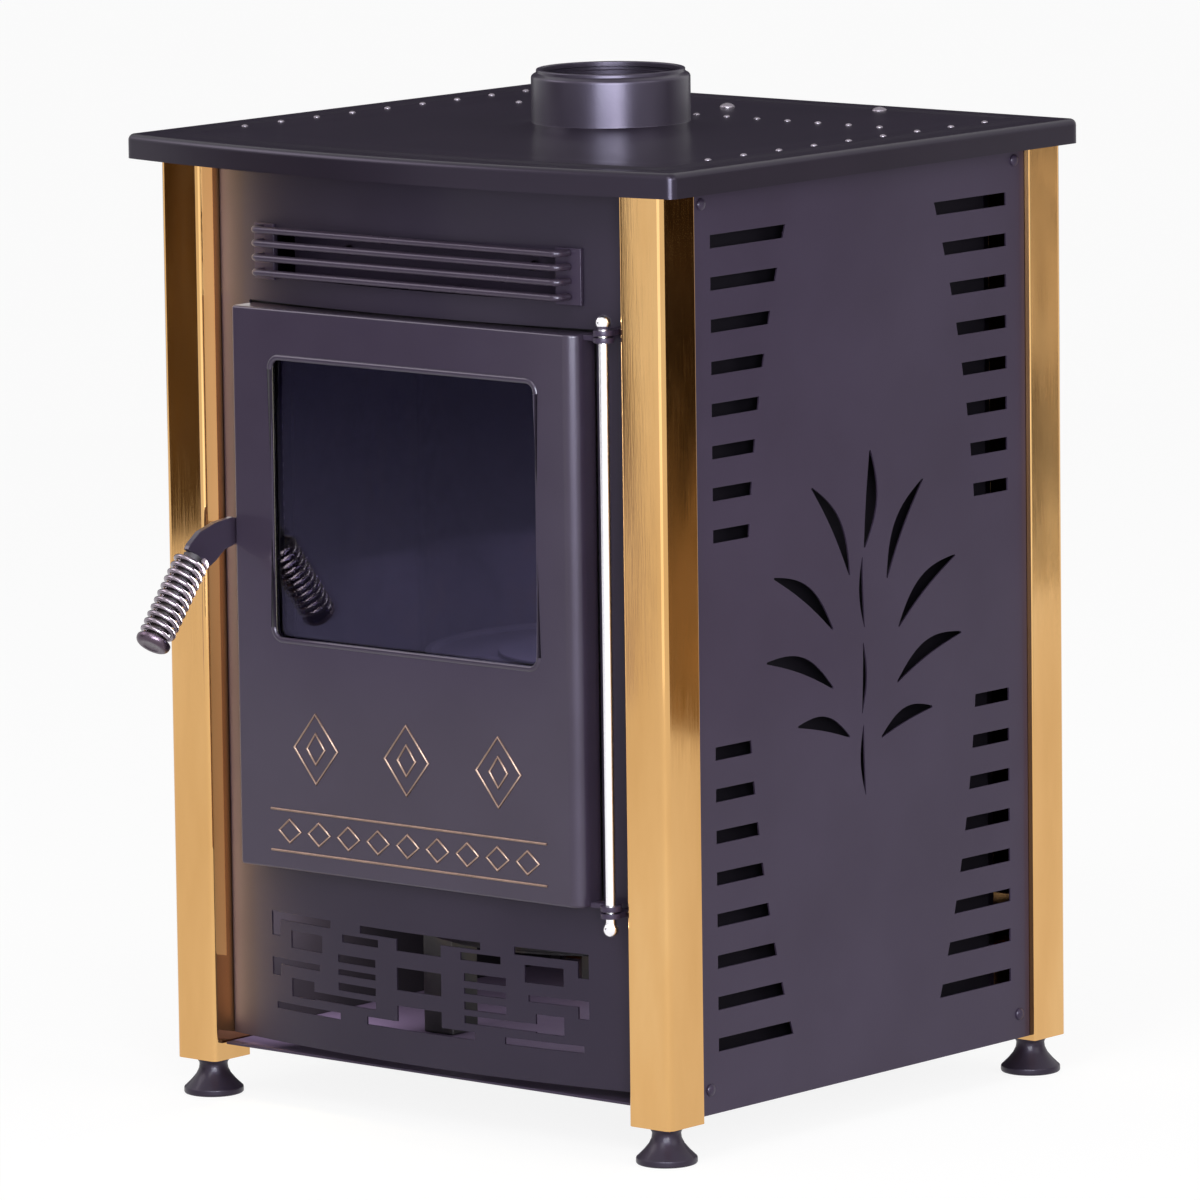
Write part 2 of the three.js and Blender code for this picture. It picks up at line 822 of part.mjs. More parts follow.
function slotOutline(side, rowOffset) {
  const edge = (offset) => {
    const inner = slotArcRadius - Math.sqrt(slotArcRadius ** 2 - offset ** 2);
    return slotOuterY - slotShortest - inner;
  };
  const low = rowOffset - slotHeight / 2;
  const high = rowOffset + slotHeight / 2;
  return [
    [side * slotOuterY, slotMiddle + low],
    [side * slotOuterY, slotMiddle + high],
    [side * edge(high), slotMiddle + high],
    [side * edge(low), slotMiddle + low],
  ].map(([y, z]) => new THREE.Vector2(y, z));
}

function leafOutline(share, length, width, bend) {
  const angle = THREE.MathUtils.degToRad(share.turn);
  const middle = new THREE.Vector2(share.across * sprigHalfWidth, sprigMiddle + share.up * sprigHalfHeight);
  const along = new THREE.Vector2(Math.cos(angle), Math.sin(angle));
  const across = new THREE.Vector2(-along.y, along.x);
  const points = [];
  for (let step = 0; step < 2 * leafSteps; step += 1) {
    const part = step / leafSteps;
    const run = part <= 1 ? part : 2 - part;
    const side = part <= 1 ? 1 : -1;
    const swell = (share.bend * bend + (side * width) / 2) * Math.sin(Math.PI * run);
    points.push(middle.clone().addScaledVector(along, (run - 1 / 2) * length).addScaledVector(across, swell));
  }
  return points;
}

function sprigHoles() {
  return [
    ...leafPlaceShares.map((share) => leafOutline(share, leafLength, leafWidth, leafBend)),
    ...lowLeafPlaceShares.map((share) => leafOutline(share, lowLeafLength, lowLeafWidth, lowLeafBend)),
    ...tipPlaceShares.map((share) => leafOutline(share, tipLeafLength, tipLeafWidth, tipLeafBend)),
    ...stemPlaceShares.map((share) => leafOutline(share, stemLength, stemWidth, stemBend)),
  ];
}

function sidePanel() {
  const holes = sprigHoles();
  for (let row = 0; row < slotRows; row += 1) {
    const offset = slotStart + row * slotPitch;
    [-1, 1].forEach((end) => {
      holes.push(slotOutline(end, offset), slotOutline(end, -offset));
    });
  }
  const sheet = block(sideOuterX - panelSheet, sideOuterX, -sideHalfSpan, sideHalfSpan, sideBottom, trayTop);
  return cut(sheet, ...holes.map((hole) => alongX(hole, sideOuterX - cutOverrun, sideOuterX + cutOverrun)));
}

function backPanel() {
  const rear = rearFaceY;
  const holes = [];
  for (let row = 0; row < backSlotRows; row += 1) {
    const z = backSlotBottom + row * backSlotPitch;
    [-1, 1].forEach((side) => {
      const x = side * backSlotX;
      const half = backSlotLength / 2;
      holes.push(block(x - half, x + half, rear - cutOverrun, rear + cutOverrun, z, z + backSlotHeight));
    });
  }
  const sheet = block(-frontHalfSpan, frontHalfSpan, rear - panelSheet, rear, panelBottom, trayTop);
  const hole = (radius, x, z) => rod(radius, rear - cutOverrun - panelSheet, rear + cutOverrun)
    .translate(0, 0, -rear)
    .rotateX(Math.PI / 2)
    .translate(x, rear, z);
  return cut(
    sheet,
    ...holes,
    hole(knobStemRadius + 2 * seatGap, knobX, knobZ),
    hole(inletRadius + 2 * seatGap, inletX, inletZ),
  );
}

// Louvre

function louvreStrip(side) {
  const inner = louvreHalfWidth;
  const outer = louvreHalfWidth + stripWidth;
  const front = -stripThickness - seatGap;
  return side > 0
    ? bowBand(inner, outer, front, -seatGap, stripBottom, stripTop)
    : bowBand(-outer, -inner, front, -seatGap, stripBottom, stripTop);
}

function louvreBar(height) {
  const stripFaceY = panelFaceY(barHalfSpan - barRadius) - stripThickness - 2 * seatGap;
  const route = [
    new THREE.Vector3(-barHalfSpan, stripFaceY, height),
    new THREE.Vector3(-barHalfSpan, barFrontY, height),
    new THREE.Vector3(barHalfSpan, barFrontY, height),
    new THREE.Vector3(barHalfSpan, stripFaceY, height),
  ];
  return tube(bentRoute(route, barBend), barRadius, 8);
}

function outletDeflector() {
  const top = trayTop - panelSheet - seatGap;
  return block(
    -deflectorHalfWidth, deflectorHalfWidth, deflectorY, deflectorY + panelSheet, deflectorBottom, top,
  );
}

// Door

function doorShell() {
  const outline = (inset) => roundCorners([
    [-doorHalfWidth + inset, doorFrontY + inset, doorFreeRadius - inset / 2],
    [doorHalfWidth - inset, doorFrontY + inset, doorHingeRadius - inset],
    [doorHalfWidth - inset, doorBackY + (inset > 0 ? cutOverrun : 0)],
    [-doorHalfWidth + inset, doorBackY + (inset > 0 ? cutOverrun : 0)],
  ]);
  const whole = alongZ(outline(0), doorBottom, doorTop);
  const hollow = alongZ(outline(heavySheet), doorBottom + heavySheet, doorTop - heavySheet);
  const glassHole = alongY(
    rectangle(-windowHalfWidth, windowHalfWidth, windowBottom, windowTop, windowRadius),
    doorFrontY - cutOverrun, doorFrontY + cutOverrun,
  );
  return cut(whole, hollow, glassHole, pinHole());
}

function pinHole() {
  return rod(pinRadius + seatGap, -cutOverrun, cutOverrun)
    .rotateY(Math.PI / 2)
    .translate(-doorHalfWidth, pivotY, pivotZ);
}

function windowFrame(outward, hole, y0, y1, outerRadius) {
  return alongY(
    rectangle(
      -windowHalfWidth - outward, windowHalfWidth + outward,
      windowBottom - outward, windowTop + outward, outerRadius,
    ),
    y0, y1,
    hole === null ? [] : [rectangle(
      -windowHalfWidth - hole, windowHalfWidth + hole, windowBottom - hole, windowTop + hole, windowRadius,
    )],
  );
}

const gasketFrontY = doorFrontY + heavySheet + seatGap;
const glassFrontY = gasketFrontY + gasketThickness + seatGap;
const glassBackY = glassFrontY + glassThickness;
const retainerBackY = glassBackY + seatGap + retainerPlate;

function glassRetainer() {
  const edge = glassOverlap + seatGap;
  const lip = windowFrame(edge + retainerLip, edge, gasketFrontY, retainerBackY, windowRadius);
  const cover = windowFrame(
    edge + retainerLip, glassOverlap - retainerCover, glassBackY + seatGap, retainerBackY, windowRadius,
  );
  return join(lip, cover);
}

function mouthRing(outward, hole, y0, y1) {
  return alongY(
    rectangle(
      -mouthHalfWidth - outward, mouthHalfWidth + outward, mouthBottom - outward, mouthTop + outward, mouthRadius,
    ),
    y0, y1,
    [rectangle(-mouthHalfWidth - hole, mouthHalfWidth + hole, mouthBottom - hole, mouthTop + hole, mouthRadius)],
  );
}

const innerFrameBackY = doorBackY - innerFrameBack;

function doorInnerFrame() {
  const side = doorHalfWidth - heavySheet - seatGap;
  const mouth = rectangle(-mouthHalfWidth, mouthHalfWidth, mouthBottom, mouthTop, mouthRadius);
  return alongY(
    rectangle(-side, side, doorBottom + heavySheet + seatGap, doorTop - heavySheet - seatGap),
    innerFrameBackY - heavySheet, innerFrameBackY, [mouth],
  );
}

// Hinge rod with ball ends, its two ears on the panel and the two lugs on the door

function hingeRod() {
  const low = doorBottom - rodBallOut - rodBallRadius / 2;
  const high = doorTop + rodBallOut;
  const profile = [];
  const ballSteps = 6;
  const neckAngle = Math.asin(rodRadius / rodBallRadius);
  for (let step = 0; step <= ballSteps; step += 1) {
    const angle = ((Math.PI - neckAngle) * step) / ballSteps;
    profile.push([rodBallRadius * Math.sin(angle), low - rodBallRadius * Math.cos(angle)]);
  }
  for (let step = 0; step <= ballSteps; step += 1) {
    const angle = neckAngle + ((Math.PI - neckAngle) * step) / ballSteps;
    profile.push([rodBallRadius * Math.sin(angle), high - rodBallRadius * Math.cos(angle)]);
  }
  profile[0][0] = 0;
  profile.at(-1)[0] = 0;
  return turned(profile, smallSides).translate(hingeX, hingeY, 0);
}

function hingeEye(arm, z0) {
  const eye = rod(lugRadius, z0, z0 + lugThickness, 16).translate(hingeX, hingeY, 0);
  const bore = rod(rodRadius + hingeRunning, z0 - cutOverrun, z0 + lugThickness + cutOverrun)
    .translate(hingeX, hingeY, 0);
  return cut(join(eye, arm), bore);
}

function hingeEar(z0) {
  const back = panelFaceY(hingeX - earHalfWidth) - seatGap;
  const arm = block(hingeX - earHalfWidth, hingeX + earHalfWidth, hingeY, back, z0, z0 + lugThickness);
  return hingeEye(arm, z0);
}

function hingeLug(z0) {
  const arm = block(
    doorHalfWidth + seatGap, hingeX, lugMiddleY - lugHalfWidth, lugMiddleY + lugHalfWidth, z0, z0 + lugThickness,
  );
  return hingeEye(arm, z0);
}

// Latch: lever, pivot pin, keeper and the spring handle

function latchLever() {
  const seatMiddle = new THREE.Vector2(handleStartY, handleStartZ);
  const across = new THREE.Vector2(-Math.sin(handleTilt), Math.cos(handleTilt)).multiplyScalar(handleHalfSeat);
  const placed = ([ahead, up]) => new THREE.Vector2(pivotY - ahead * leverReach, pivotZ + up * leverReach);
  const outline = [
    new THREE.Vector2(tailEndY, tailBottom),
    new THREE.Vector2(tailEndY, tailTop),
    new THREE.Vector2(pivotY + tailStart, tailTop),
    ...leverUpperShares.map(placed),
    seatMiddle.clone().add(across),
    seatMiddle.clone().sub(across),
    ...leverLowerShares.map(placed),
    new THREE.Vector2(pivotY + tailStart, tailBottom),
  ];
  const plate = alongX(outline, leverInnerX - leverThickness, leverInnerX);
  return cut(plate, pinHole());
}

function leverPin() {
  const outerHead = leverInnerX - leverThickness - seatGap;
  const innerHead = -doorHalfWidth + heavySheet + seatGap;
  const profile = [
    [0, outerHead - pinHead],
    [pinHeadRadius, outerHead - pinHead],
    [pinHeadRadius, outerHead],
    [pinRadius, outerHead],
    [pinRadius, innerHead],
    [pinHeadRadius, innerHead],
    [pinHeadRadius, innerHead + pinHead],
    [0, innerHead + pinHead],
  ];
  return turned(profile, 16).rotateY(Math.PI / 2).translate(0, pivotY, pivotZ);
}

function latchKeeper() {
  const front = frontFrameY + frontFrameSheet + seatGap;
  const bottom = tailTop + keeperPlay;
  return block(
    leverMiddleX - keeperWidth / 2, leverMiddleX + keeperWidth / 2,
    front, front + keeperDepth,
    bottom, bottom + keeperHeight,
  );
}

// Puts a piece made about Z, from 0 up, on the handle's axis, pointing away from the lever
function onHandle(geometry) {
  return geometry.rotateX(Math.PI / 2 + handleTilt).translate(leverMiddleX, handleStartY, handleStartZ);
}

function springRoute() {
  const first = seatGap + wireRadius;
  const run = springLength - 2 * first;
  const count = springTurns * springStepsPerTurn;
  return Array.from({ length: count + 1 }, (_, step) => {
    const angle = (fullTurn * step) / springStepsPerTurn;
    return new THREE.Vector3(
      springRadius * Math.cos(angle), springRadius * Math.sin(angle), first + (run * step) / count,
    );
  });
}

// The least gap between turns of the spring, measured between its route's points a turn or more apart
function springSelfGap(route) {
  let least = Infinity;
  route.forEach((point, index) => {
    route.slice(index + springStepsPerTurn - 1).forEach((other) => {
      least = Math.min(least, point.distanceTo(other) - 2 * wireRadius);
    });
  });
  return least;
}

function handleCore() {
  return onHandle(rod(coreRadius, seatGap, springLength));
}

function handleCap() {
  const start = springLength + seatGap;
  const end = start + capLength;
  return onHandle(turned([
    [0, start],
    [capRadius - capChamfer, start],
    [capRadius, start + capChamfer],
    [capRadius, end - capChamfer],
    [capRadius - capChamfer, end],
    [0, end],
  ], 20));
}

// Firebox

function fireboxFrontFrame() {
  const side = frontHalfSpan - panelSheet - seatGap;
  const mouth = rectangle(-mouthHalfWidth, mouthHalfWidth, mouthBottom, mouthTop, mouthRadius);
  const slotX = leverInnerX + heavySheet;
  const slotTop = tailTop + slotSide;
  const slotBottom = tailBottom - slotDrop;
  const outline = [
    [-side, frontFrameBottom],
    [side, frontFrameBottom],
    [side, frontFrameTop],
    [-side, frontFrameTop],
    [-side, slotTop],
    [slotX, slotTop],
    [slotX, slotBottom],
    [-side, slotBottom],
  ];
  return alongY(roundCorners(outline), frontFrameY, frontFrameY + frontFrameSheet, [mouth]);
}

function fireboxTunnel() {
  const front = frontFrameY + frontFrameSheet + seatGap;
  const outline = (inset) => rectangle(
    -mouthHalfWidth - inset, mouthHalfWidth + inset, mouthBottom - inset, mouthTop + inset, mouthRadius,
  );
  const box = alongY(outline(tunnelWall), front, -drumRadius * tunnelEndShare, [outline(0)]);
  const round = rod(drumRadius + seatGap, drumBottom, drumTop, roundSides);
  return cut(box, round);
}

function fireboxDrum() {
  const inner = drumRadius - drumWall;
  const shell = turned([
    [inner, drumBottom + seatGap],
    [drumRadius, drumBottom + seatGap],
    [drumRadius, drumTop - seatGap],
    [inner, drumTop - seatGap],
  ]);
  const mouth = alongY(
    rectangle(-mouthHalfWidth, mouthHalfWidth, mouthBottom, mouthTop, mouthRadius), -drumRadius - cutOverrun, 0,
  );
  return cut(shell, mouth);
}

function fireboxTop() {
  const neckTop = lidTop - spigotDepth + neckOverlap;
  return turned([
    [neckRadius - neckWall, drumTop],
    [drumRadius, drumTop],
    [drumRadius, drumTop + heavySheet],
    [neckRadius, drumTop + heavySheet],
    [neckRadius, neckTop],
    [neckRadius - neckWall, neckTop],
  ]);
}

function feedHole() {
  return rod(feedHoleRadius, drumBottom - cutOverrun, drumBottom + cutOverrun).translate(feedEndX, valveY, 0);
}

function fireboxFloor() {
  return cut(rod(drumRadius, drumBottom - heavySheet, drumBottom, roundSides), feedHole());
}

function fireboxLeg(sideX, sideY) {
  const x = sideX * drumRadius * legPlaceShare;
  const y = sideY * drumRadius * legPlaceShare;
  const half = legSize / 2;
  return block(
    x - half, x + half, y - half, y + half,
    panBottom + heavySheet + seatGap, drumBottom - heavySheet - seatGap,
  );
}

function heatShield() {
  const outerX = sideOuterX - panelSheet - shieldSideGap;
  const innerX = outerX - panelSheet;
  const wayX = outerX - shieldStrip;
  const rear = shieldY + panelSheet;
  const bottom = panBottom + heavySheet + seatGap;
  const top = trayTop - panelSheet - seatGap;
  const outline = [
    [-outerX, -shieldY], [-innerX, -shieldY], [-innerX, shieldY], [innerX, shieldY],
    [innerX, -shieldY], [outerX, -shieldY], [outerX, rear], [-outerX, rear],
  ].map(([x, y]) => new THREE.Vector2(x, y));
  const pipeWay = block(
    -wayX, wayX, shieldY - cutOverrun, rear + cutOverrun, bottom - cutOverrun, knobZ + knobRadius + shieldKnobGap,
  );
  return cut(alongZ(outline, bottom, top), pipeWay);
}

// Burner

function burnerPot() {
  const bottom = drumBottom + seatGap;
  const inner = potRadius - potWall;
  const cup = turned([
    [0, bottom],
    [potRadius, bottom],
    [potRadius, potTop],
    [inner, potTop],
    [inner, bottom + potWall],
    [0, bottom + potWall],
  ]);
  const holes = [];
  potHoleRiseShares.forEach((share, row) => {
    for (let index = 0; index < potHoleCount; index += 1) {
      const angle = (fullTurn * (index + row / 2)) / potHoleCount;
      const hole = rod(potHoleRadius, potRadius - cutOverrun, potRadius + cutOverrun, 6)
        .rotateY(Math.PI / 2)
        .rotateZ(angle)
        .translate(0, 0, drumBottom + share * potHeight);
      holes.push(hole);
    }
  });
  return cut(cup, feedHole(), ...holes);
}

function burnerRing() {
  const bottom = potTop + seatGap;
  return turned([
    [ringInnerRadius, bottom],
    [ringRadius, bottom],
    [ringRadius, bottom + ringRimHeight],
    [ringRadius - ringRimWidth, bottom + ringRimHeight],
    [ringRadius - ringRimWidth, bottom + ringPlate],
    [ringInnerRadius, bottom + ringPlate],
  ]);
}

function flameRing() {
  const bottom = potTop + ringPlate + 2 * seatGap;
  return turned([
    [flameRingInner, bottom],
    [flameRingRadius, bottom],
    [flameRingRadius, bottom + flameRingPlate],
    [flameRingInner, bottom + flameRingPlate],
  ]);
}

// Fuel valve, pipes and flow knob

const valveTop = valveBottom + valveHeight;
const valveRearY = valveY + valveSize / 2;

function valveBody() {
  const half = valveSize / 2;
  return block(valveX - half, valveX + half, valveY - half, valveY + half, valveBottom, valveTop);
}

function valveCover() {
  const half = valveSize / 2 + valveCoverOut;
  const bottom = valveTop + seatGap;
  const plate = block(
    valveX - half, valveX + half, valveY - half, valveY + half, bottom, bottom + valveCoverHeight,
  );
  const boss = rod(valveBossRadius, bottom, bottom + valveCoverHeight + valveBossHeight, 16)
    .translate(valveX, valveY, 0);
  return join(plate, boss);
}

function valveBracket() {
  const left = valveX - bracketWidth / 2;
  const right = valveX + bracketWidth / 2;
  const low = panBottom + heavySheet + seatGap;
  const high = valveBottom - seatGap;
  const outline = [
    [left, low],
    [right, low],
    [right, low + bracketSheet],
    [left + bracketSheet, low + bracketSheet],
    [left + bracketSheet, high - bracketSheet],
    [right, high - bracketSheet],
    [right, high],
    [left, high],
  ].map(([x, z]) => new THREE.Vector2(x, z));
  return alongY(outline, valveY - bracketWidth / 2, valveY + bracketWidth / 2);
}

function feedPipe() {
  const start = valveX - valveSize / 2 - seatGap;
  const route = [
    new THREE.Vector3(start, valveY, feedHeight),
    new THREE.Vector3(feedEndX, valveY, feedHeight),
    new THREE.Vector3(feedEndX, valveY, drumBottom + seatGap + potWall + feedIntoPot),
  ];
  return tube(bentRoute(route, feedBend, 6), feedRadius, 10);
}

function inletPipe() {
  const length = halfDepth + inletReach - valveRearY - seatGap;
  const pipe = turned([
    [inletBore, 0],
    [inletRadius, 0],
    [inletRadius, length],
    [inletBore, length],
  ], smallSides);
  return pipe.rotateX(-Math.PI / 2).translate(inletX, valveRearY + seatGap, inletZ);
}

function flowKnob() {
  const stem = rearFaceY + knobStandoff - valveRearY - seatGap;
  const knob = turned([
    [0, 0],
    [knobStemRadius, 0],
    [knobStemRadius, stem],
    [knobRadius, stem],
    [knobRadius, stem + knobLength - knobChamfer],
    [knobRadius - knobChamfer, stem + knobLength],
    [0, stem + knobLength],
  ], 20);
  return knob.rotateX(-Math.PI / 2).translate(knobX, valveRearY + seatGap, knobZ);
}

// The stove, piece by piece

const corners = [
  { place: 'front_left', sideX: -1, sideY: -1 },
  { place: 'front_right', sideX: 1, sideY: -1 },
  { place: 'rear_left', sideX: -1, sideY: 1 },
  { place: 'rear_right', sideX: 1, sideY: 1 },
];

corners.forEach(({ place, sideX, sideY }) => {
  addPiece(`foot_${place}`, foot(sideX, sideY), finishes.foot);
  addPiece(`post_${place}`, post(sideX, sideY), finishes.gold);
  addPiece(`firebox_leg_${place}`, fireboxLeg(sideX, sideY), finishes.darkSteel);
});

addPiece('base_pan', basePan(), finishes.paint);
addPiece('upper_tray', upperTray(), finishes.paint);
addPiece('front_panel', frontPanel(), finishes.paint);
addPiece('side_panel_left', sidePanel(), finishes.paint).rotation.z = Math.PI;
addPiece('side_panel_right', sidePanel(), finishes.paint);
addPiece('back_panel', backPanel(), finishes.paint);
addPiece('top_plate', topPlate(), finishes.lidPaint);
addPiece('flue_collar', flueCollar(), finishes.lidPaint);

addPiece('louvre_strip_left', louvreStrip(-1), finishes.paint);
addPiece('louvre_strip_right', louvreStrip(1), finishes.paint);
barDropShares.forEach((share, index) => {
  addPiece(`louvre_bar_${index + 1}`, louvreBar(louvreTop - share * louvreHeight), finishes.paint);
});
addPiece('outlet_deflector', outletDeflector(), finishes.paint);

const topEarZ = doorTop + lugInset + seatGap;
const lowEarZ = doorBottom - lugInset - seatGap - lugThickness;
addPiece('hinge_ear_top', hingeEar(topEarZ), finishes.paint);
addPiece('hinge_ear_bottom', hingeEar(lowEarZ), finishes.paint);
addPiece('hinge_rod', hingeRod(), finishes.steel);
addPiece('door_lug_top', hingeLug(doorTop - lugInset - lugThickness), finishes.paint);
addPiece('door_lug_bottom', hingeLug(doorBottom + lugInset), finishes.paint);

addPiece('door_shell', doorShell(), finishes.paint);
addPiece('glass_gasket', windowFrame(
  glassOverlap, gasketInset, gasketFrontY, gasketFrontY + gasketThickness, windowRadius,
), finishes.rope);
addPiece('door_glass', windowFrame(glassOverlap, null, glassFrontY, glassBackY, windowRadius), finishes.glass);
addPiece('glass_retainer', glassRetainer(), finishes.darkSteel);
addPiece('door_inner_frame', doorInnerFrame(), finishes.darkSteel);
addPiece('door_rope_seal', mouthRing(
  ropeInset + ropeWidth, ropeInset, innerFrameBackY + seatGap, frontFrameY - seatGap,
), finishes.rope);

addPiece('latch_lever', latchLever(), finishes.paint);
addPiece('lever_pivot_pin', leverPin(), finishes.steel);
addPiece('latch_keeper', latchKeeper(), finishes.darkSteel);
addPiece('handle_core', handleCore(), finishes.darkSteel);
const springPoints = springRoute();
console.log('least gap between the turns of handle_spring, mm:', springSelfGap(springPoints).toFixed(2));
addPiece('handle_spring', onHandle(tube(springPoints, wireRadius, springSides)), finishes.steel);
addPiece('handle_end_cap', handleCap(), finishes.steel);

addPiece('firebox_front_frame', fireboxFrontFrame(), finishes.darkSteel);
addPiece('firebox_tunnel', fireboxTunnel(), finishes.darkSteel);
addPiece('firebox_drum', fireboxDrum(), finishes.darkSteel);
addPiece('firebox_top', fireboxTop(), finishes.darkSteel);
addPiece('firebox_floor', fireboxFloor(), finishes.darkSteel);
addPiece('heat_shield', heatShield(), finishes.steel);

addPiece('burner_pot', burnerPot(), finishes.castIron);
addPiece('burner_ring', burnerRing(), finishes.castIron);
addPiece('flame_ring', flameRing(), finishes.castIron);

addPiece('valve_bracket', valveBracket(), finishes.darkSteel);
addPiece('fuel_valve_body', valveBody(), finishes.brass);
addPiece('fuel_valve_cover', valveCover(), finishes.steel);
addPiece('fuel_feed_pipe', feedPipe(), finishes.copper);
addPiece('fuel_inlet_pipe', inletPipe(), finishes.copper);
addPiece('flow_knob', flowKnob(), finishes.knob);

// The reference point lies on the floor under the middle of the whole stove, handle and knob included
const reach = new THREE.Box3().setFromObject(stove);
stove.position.y = -(reach.min.y + reach.max.y) / 2;
console.log('whole stove moved back by, mm:', stove.position.y.toFixed(3));

export default stove;
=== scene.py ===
import json
from math import atan2, cos, exp, hypot, log, pi, radians, sin, sqrt, tan, tau

import bmesh
import bpy
from mathutils import Matrix, Vector

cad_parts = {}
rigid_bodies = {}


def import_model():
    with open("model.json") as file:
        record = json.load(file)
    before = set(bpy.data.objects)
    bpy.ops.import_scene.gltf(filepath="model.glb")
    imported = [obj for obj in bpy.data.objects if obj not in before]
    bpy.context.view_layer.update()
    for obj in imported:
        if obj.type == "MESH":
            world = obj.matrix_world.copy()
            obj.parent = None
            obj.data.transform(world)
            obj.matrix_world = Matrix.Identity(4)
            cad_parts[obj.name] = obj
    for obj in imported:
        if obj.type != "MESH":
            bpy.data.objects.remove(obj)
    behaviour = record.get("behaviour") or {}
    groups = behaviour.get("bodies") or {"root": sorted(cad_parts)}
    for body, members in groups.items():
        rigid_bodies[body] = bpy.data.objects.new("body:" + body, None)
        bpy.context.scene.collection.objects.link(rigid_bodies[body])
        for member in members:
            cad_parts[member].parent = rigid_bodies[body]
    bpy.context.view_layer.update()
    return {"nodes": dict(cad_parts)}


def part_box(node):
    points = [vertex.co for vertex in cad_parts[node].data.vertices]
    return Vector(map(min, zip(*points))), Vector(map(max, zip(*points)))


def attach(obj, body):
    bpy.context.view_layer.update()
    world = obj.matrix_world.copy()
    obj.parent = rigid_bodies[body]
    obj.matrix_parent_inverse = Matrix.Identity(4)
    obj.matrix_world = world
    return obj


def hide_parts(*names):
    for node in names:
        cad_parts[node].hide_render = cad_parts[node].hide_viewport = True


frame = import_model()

mm = 0.001
halfWidth, halfDepth = 250, 243  # to the posts' outer faces
# the stove was made with its middle at y 0, then moved back
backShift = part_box("post_front_left")[0].y / mm + halfDepth

# places are written in millimetres in the stove's own frame
toRow = Matrix.Scale(mm, 4) @ Matrix.Translation((0, backShift, 0))
asIs = Matrix.Identity(4)
# x, height, thickness towards the front; then depth, height, thickness to the right
lyingOnFront = Matrix(((1, 0, 0, 0), (0, 0, -1, 0), (0, 1, 0, 0), (0, 0, 0, 1)))
lyingOnSide = Matrix(((0, 0, 1, 0), (1, 0, 0, 0), (0, 1, 0, 0), (0, 0, 0, 1)))

cornerSides = (("front_left", -1, -1), ("front_right", 1, -1), ("rear_left", -1, 1), ("rear_right", 1, 1))
bodyTop = 747.7
sheet = 1.5
bow = {"halfSpan": 209, "rise": 20, "endY": -220}


def bowedY(x, halfSpan, rise, endY):
    # an arc that bulges to the front by its rise
    radius = (halfSpan ** 2 + rise ** 2) / (2 * rise)
    return endY - (sqrt(radius ** 2 - x * x) - (radius - rise))


# ---- materials ----

def tone(red, green, blue):
    # the screen's 0 to 255 into the values that Blender works with
    def linear(value):
        share = value / 255
        return share / 12.92 if share <= 0.04045 else ((share + 0.055) / 1.055) ** 2.4
    return (linear(red), linear(green), linear(blue), 1)


def feed(node, inputs):
    # an input takes a value, a socket, a node's first output, or a list of these
    for key, value in inputs.items():
        for each in value if isinstance(value, list) else [value]:
            if isinstance(each, bpy.types.Node):
                each = each.outputs[0]
            if isinstance(each, bpy.types.NodeSocket):
                node.id_data.links.new(each, node.inputs[key])
            else:
                node.inputs[key].default_value = each


work = {}  # holds the node tree that is being built


def addNode(kind, inputs=None, **settings):
    # kind is the node's type without the name of its family
    family = next(f for f in ("GeometryNode", "ShaderNode", "FunctionNode") if hasattr(bpy.types, f + kind))
    node = work["tree"].nodes.new(family + kind)
    for key, value in settings.items():
        setattr(node, key, value)
    feed(node, inputs or {})
    return node


def newMaterial(name, metallic, roughness, plain=None):
    material = bpy.data.materials.new(name)
    material.use_nodes = True
    work["tree"] = material.node_tree
    shader = material.node_tree.nodes["Principled BSDF"]
    feed(shader, {"Metallic": metallic, "Roughness": roughness, **(plain or {})})
    return material, shader


def objectSpot(scale=(1, 1, 1), turn=(0, 0, 0)):
    spot = addNode("TexCoord").outputs["Object"]
    return addNode("Mapping", {"Vector": spot, "Scale": scale, "Rotation": turn})


def noise(spot, scale, detail=4, roughness=0.5, distortion=0):
    return addNode("TexNoise", {
        "Vector": spot, "Scale": scale, "Detail": detail, "Roughness": roughness, "Distortion": distortion})


def ramp(value, stops):
    made = addNode("ValToRGB", {"Fac": value})
    bar = made.color_ramp
    while len(bar.elements) < len(stops):
        bar.elements.new(0.5)
    for element, (place, color) in zip(bar.elements, stops):
        element.position = place
        element.color = color
    return made


def spread(value, low, high, fromLow=0.3, fromHigh=0.7):
    return addNode("MapRange", {
        "Value": value, "From Min": fromLow, "From Max": fromHigh, "To Min": low, "To Max": high})


def grain(source):
    # a noise on the thing itself, as its stretch along z and noise's values, or another pattern from its function
    return source() if callable(source) else noise(objectSpot((1, 1, source[0])), *source[1:])


def addLook(name, metallic, roughness, tint, stops, rough=None, bumps=(), plain=None):
    # rough is a grain, low and high; each bump is a grain, strength and distance, the finest one last
    material, shader = newMaterial(name, metallic, roughness, plain)
    inputs = {"Base Color": ramp(grain(tint), stops)}
    if rough:
        inputs["Roughness"] = spread(grain(rough[0]), *rough[1:])
    for source, strength, distance in bumps:
        under = {"Normal": inputs["Normal"]} if "Normal" in inputs else {}
        inputs["Normal"] = addNode("Bump", {"Height": grain(source), "Strength": strength, "Distance": distance, **under})
    feed(shader, inputs)
    look[name] = material


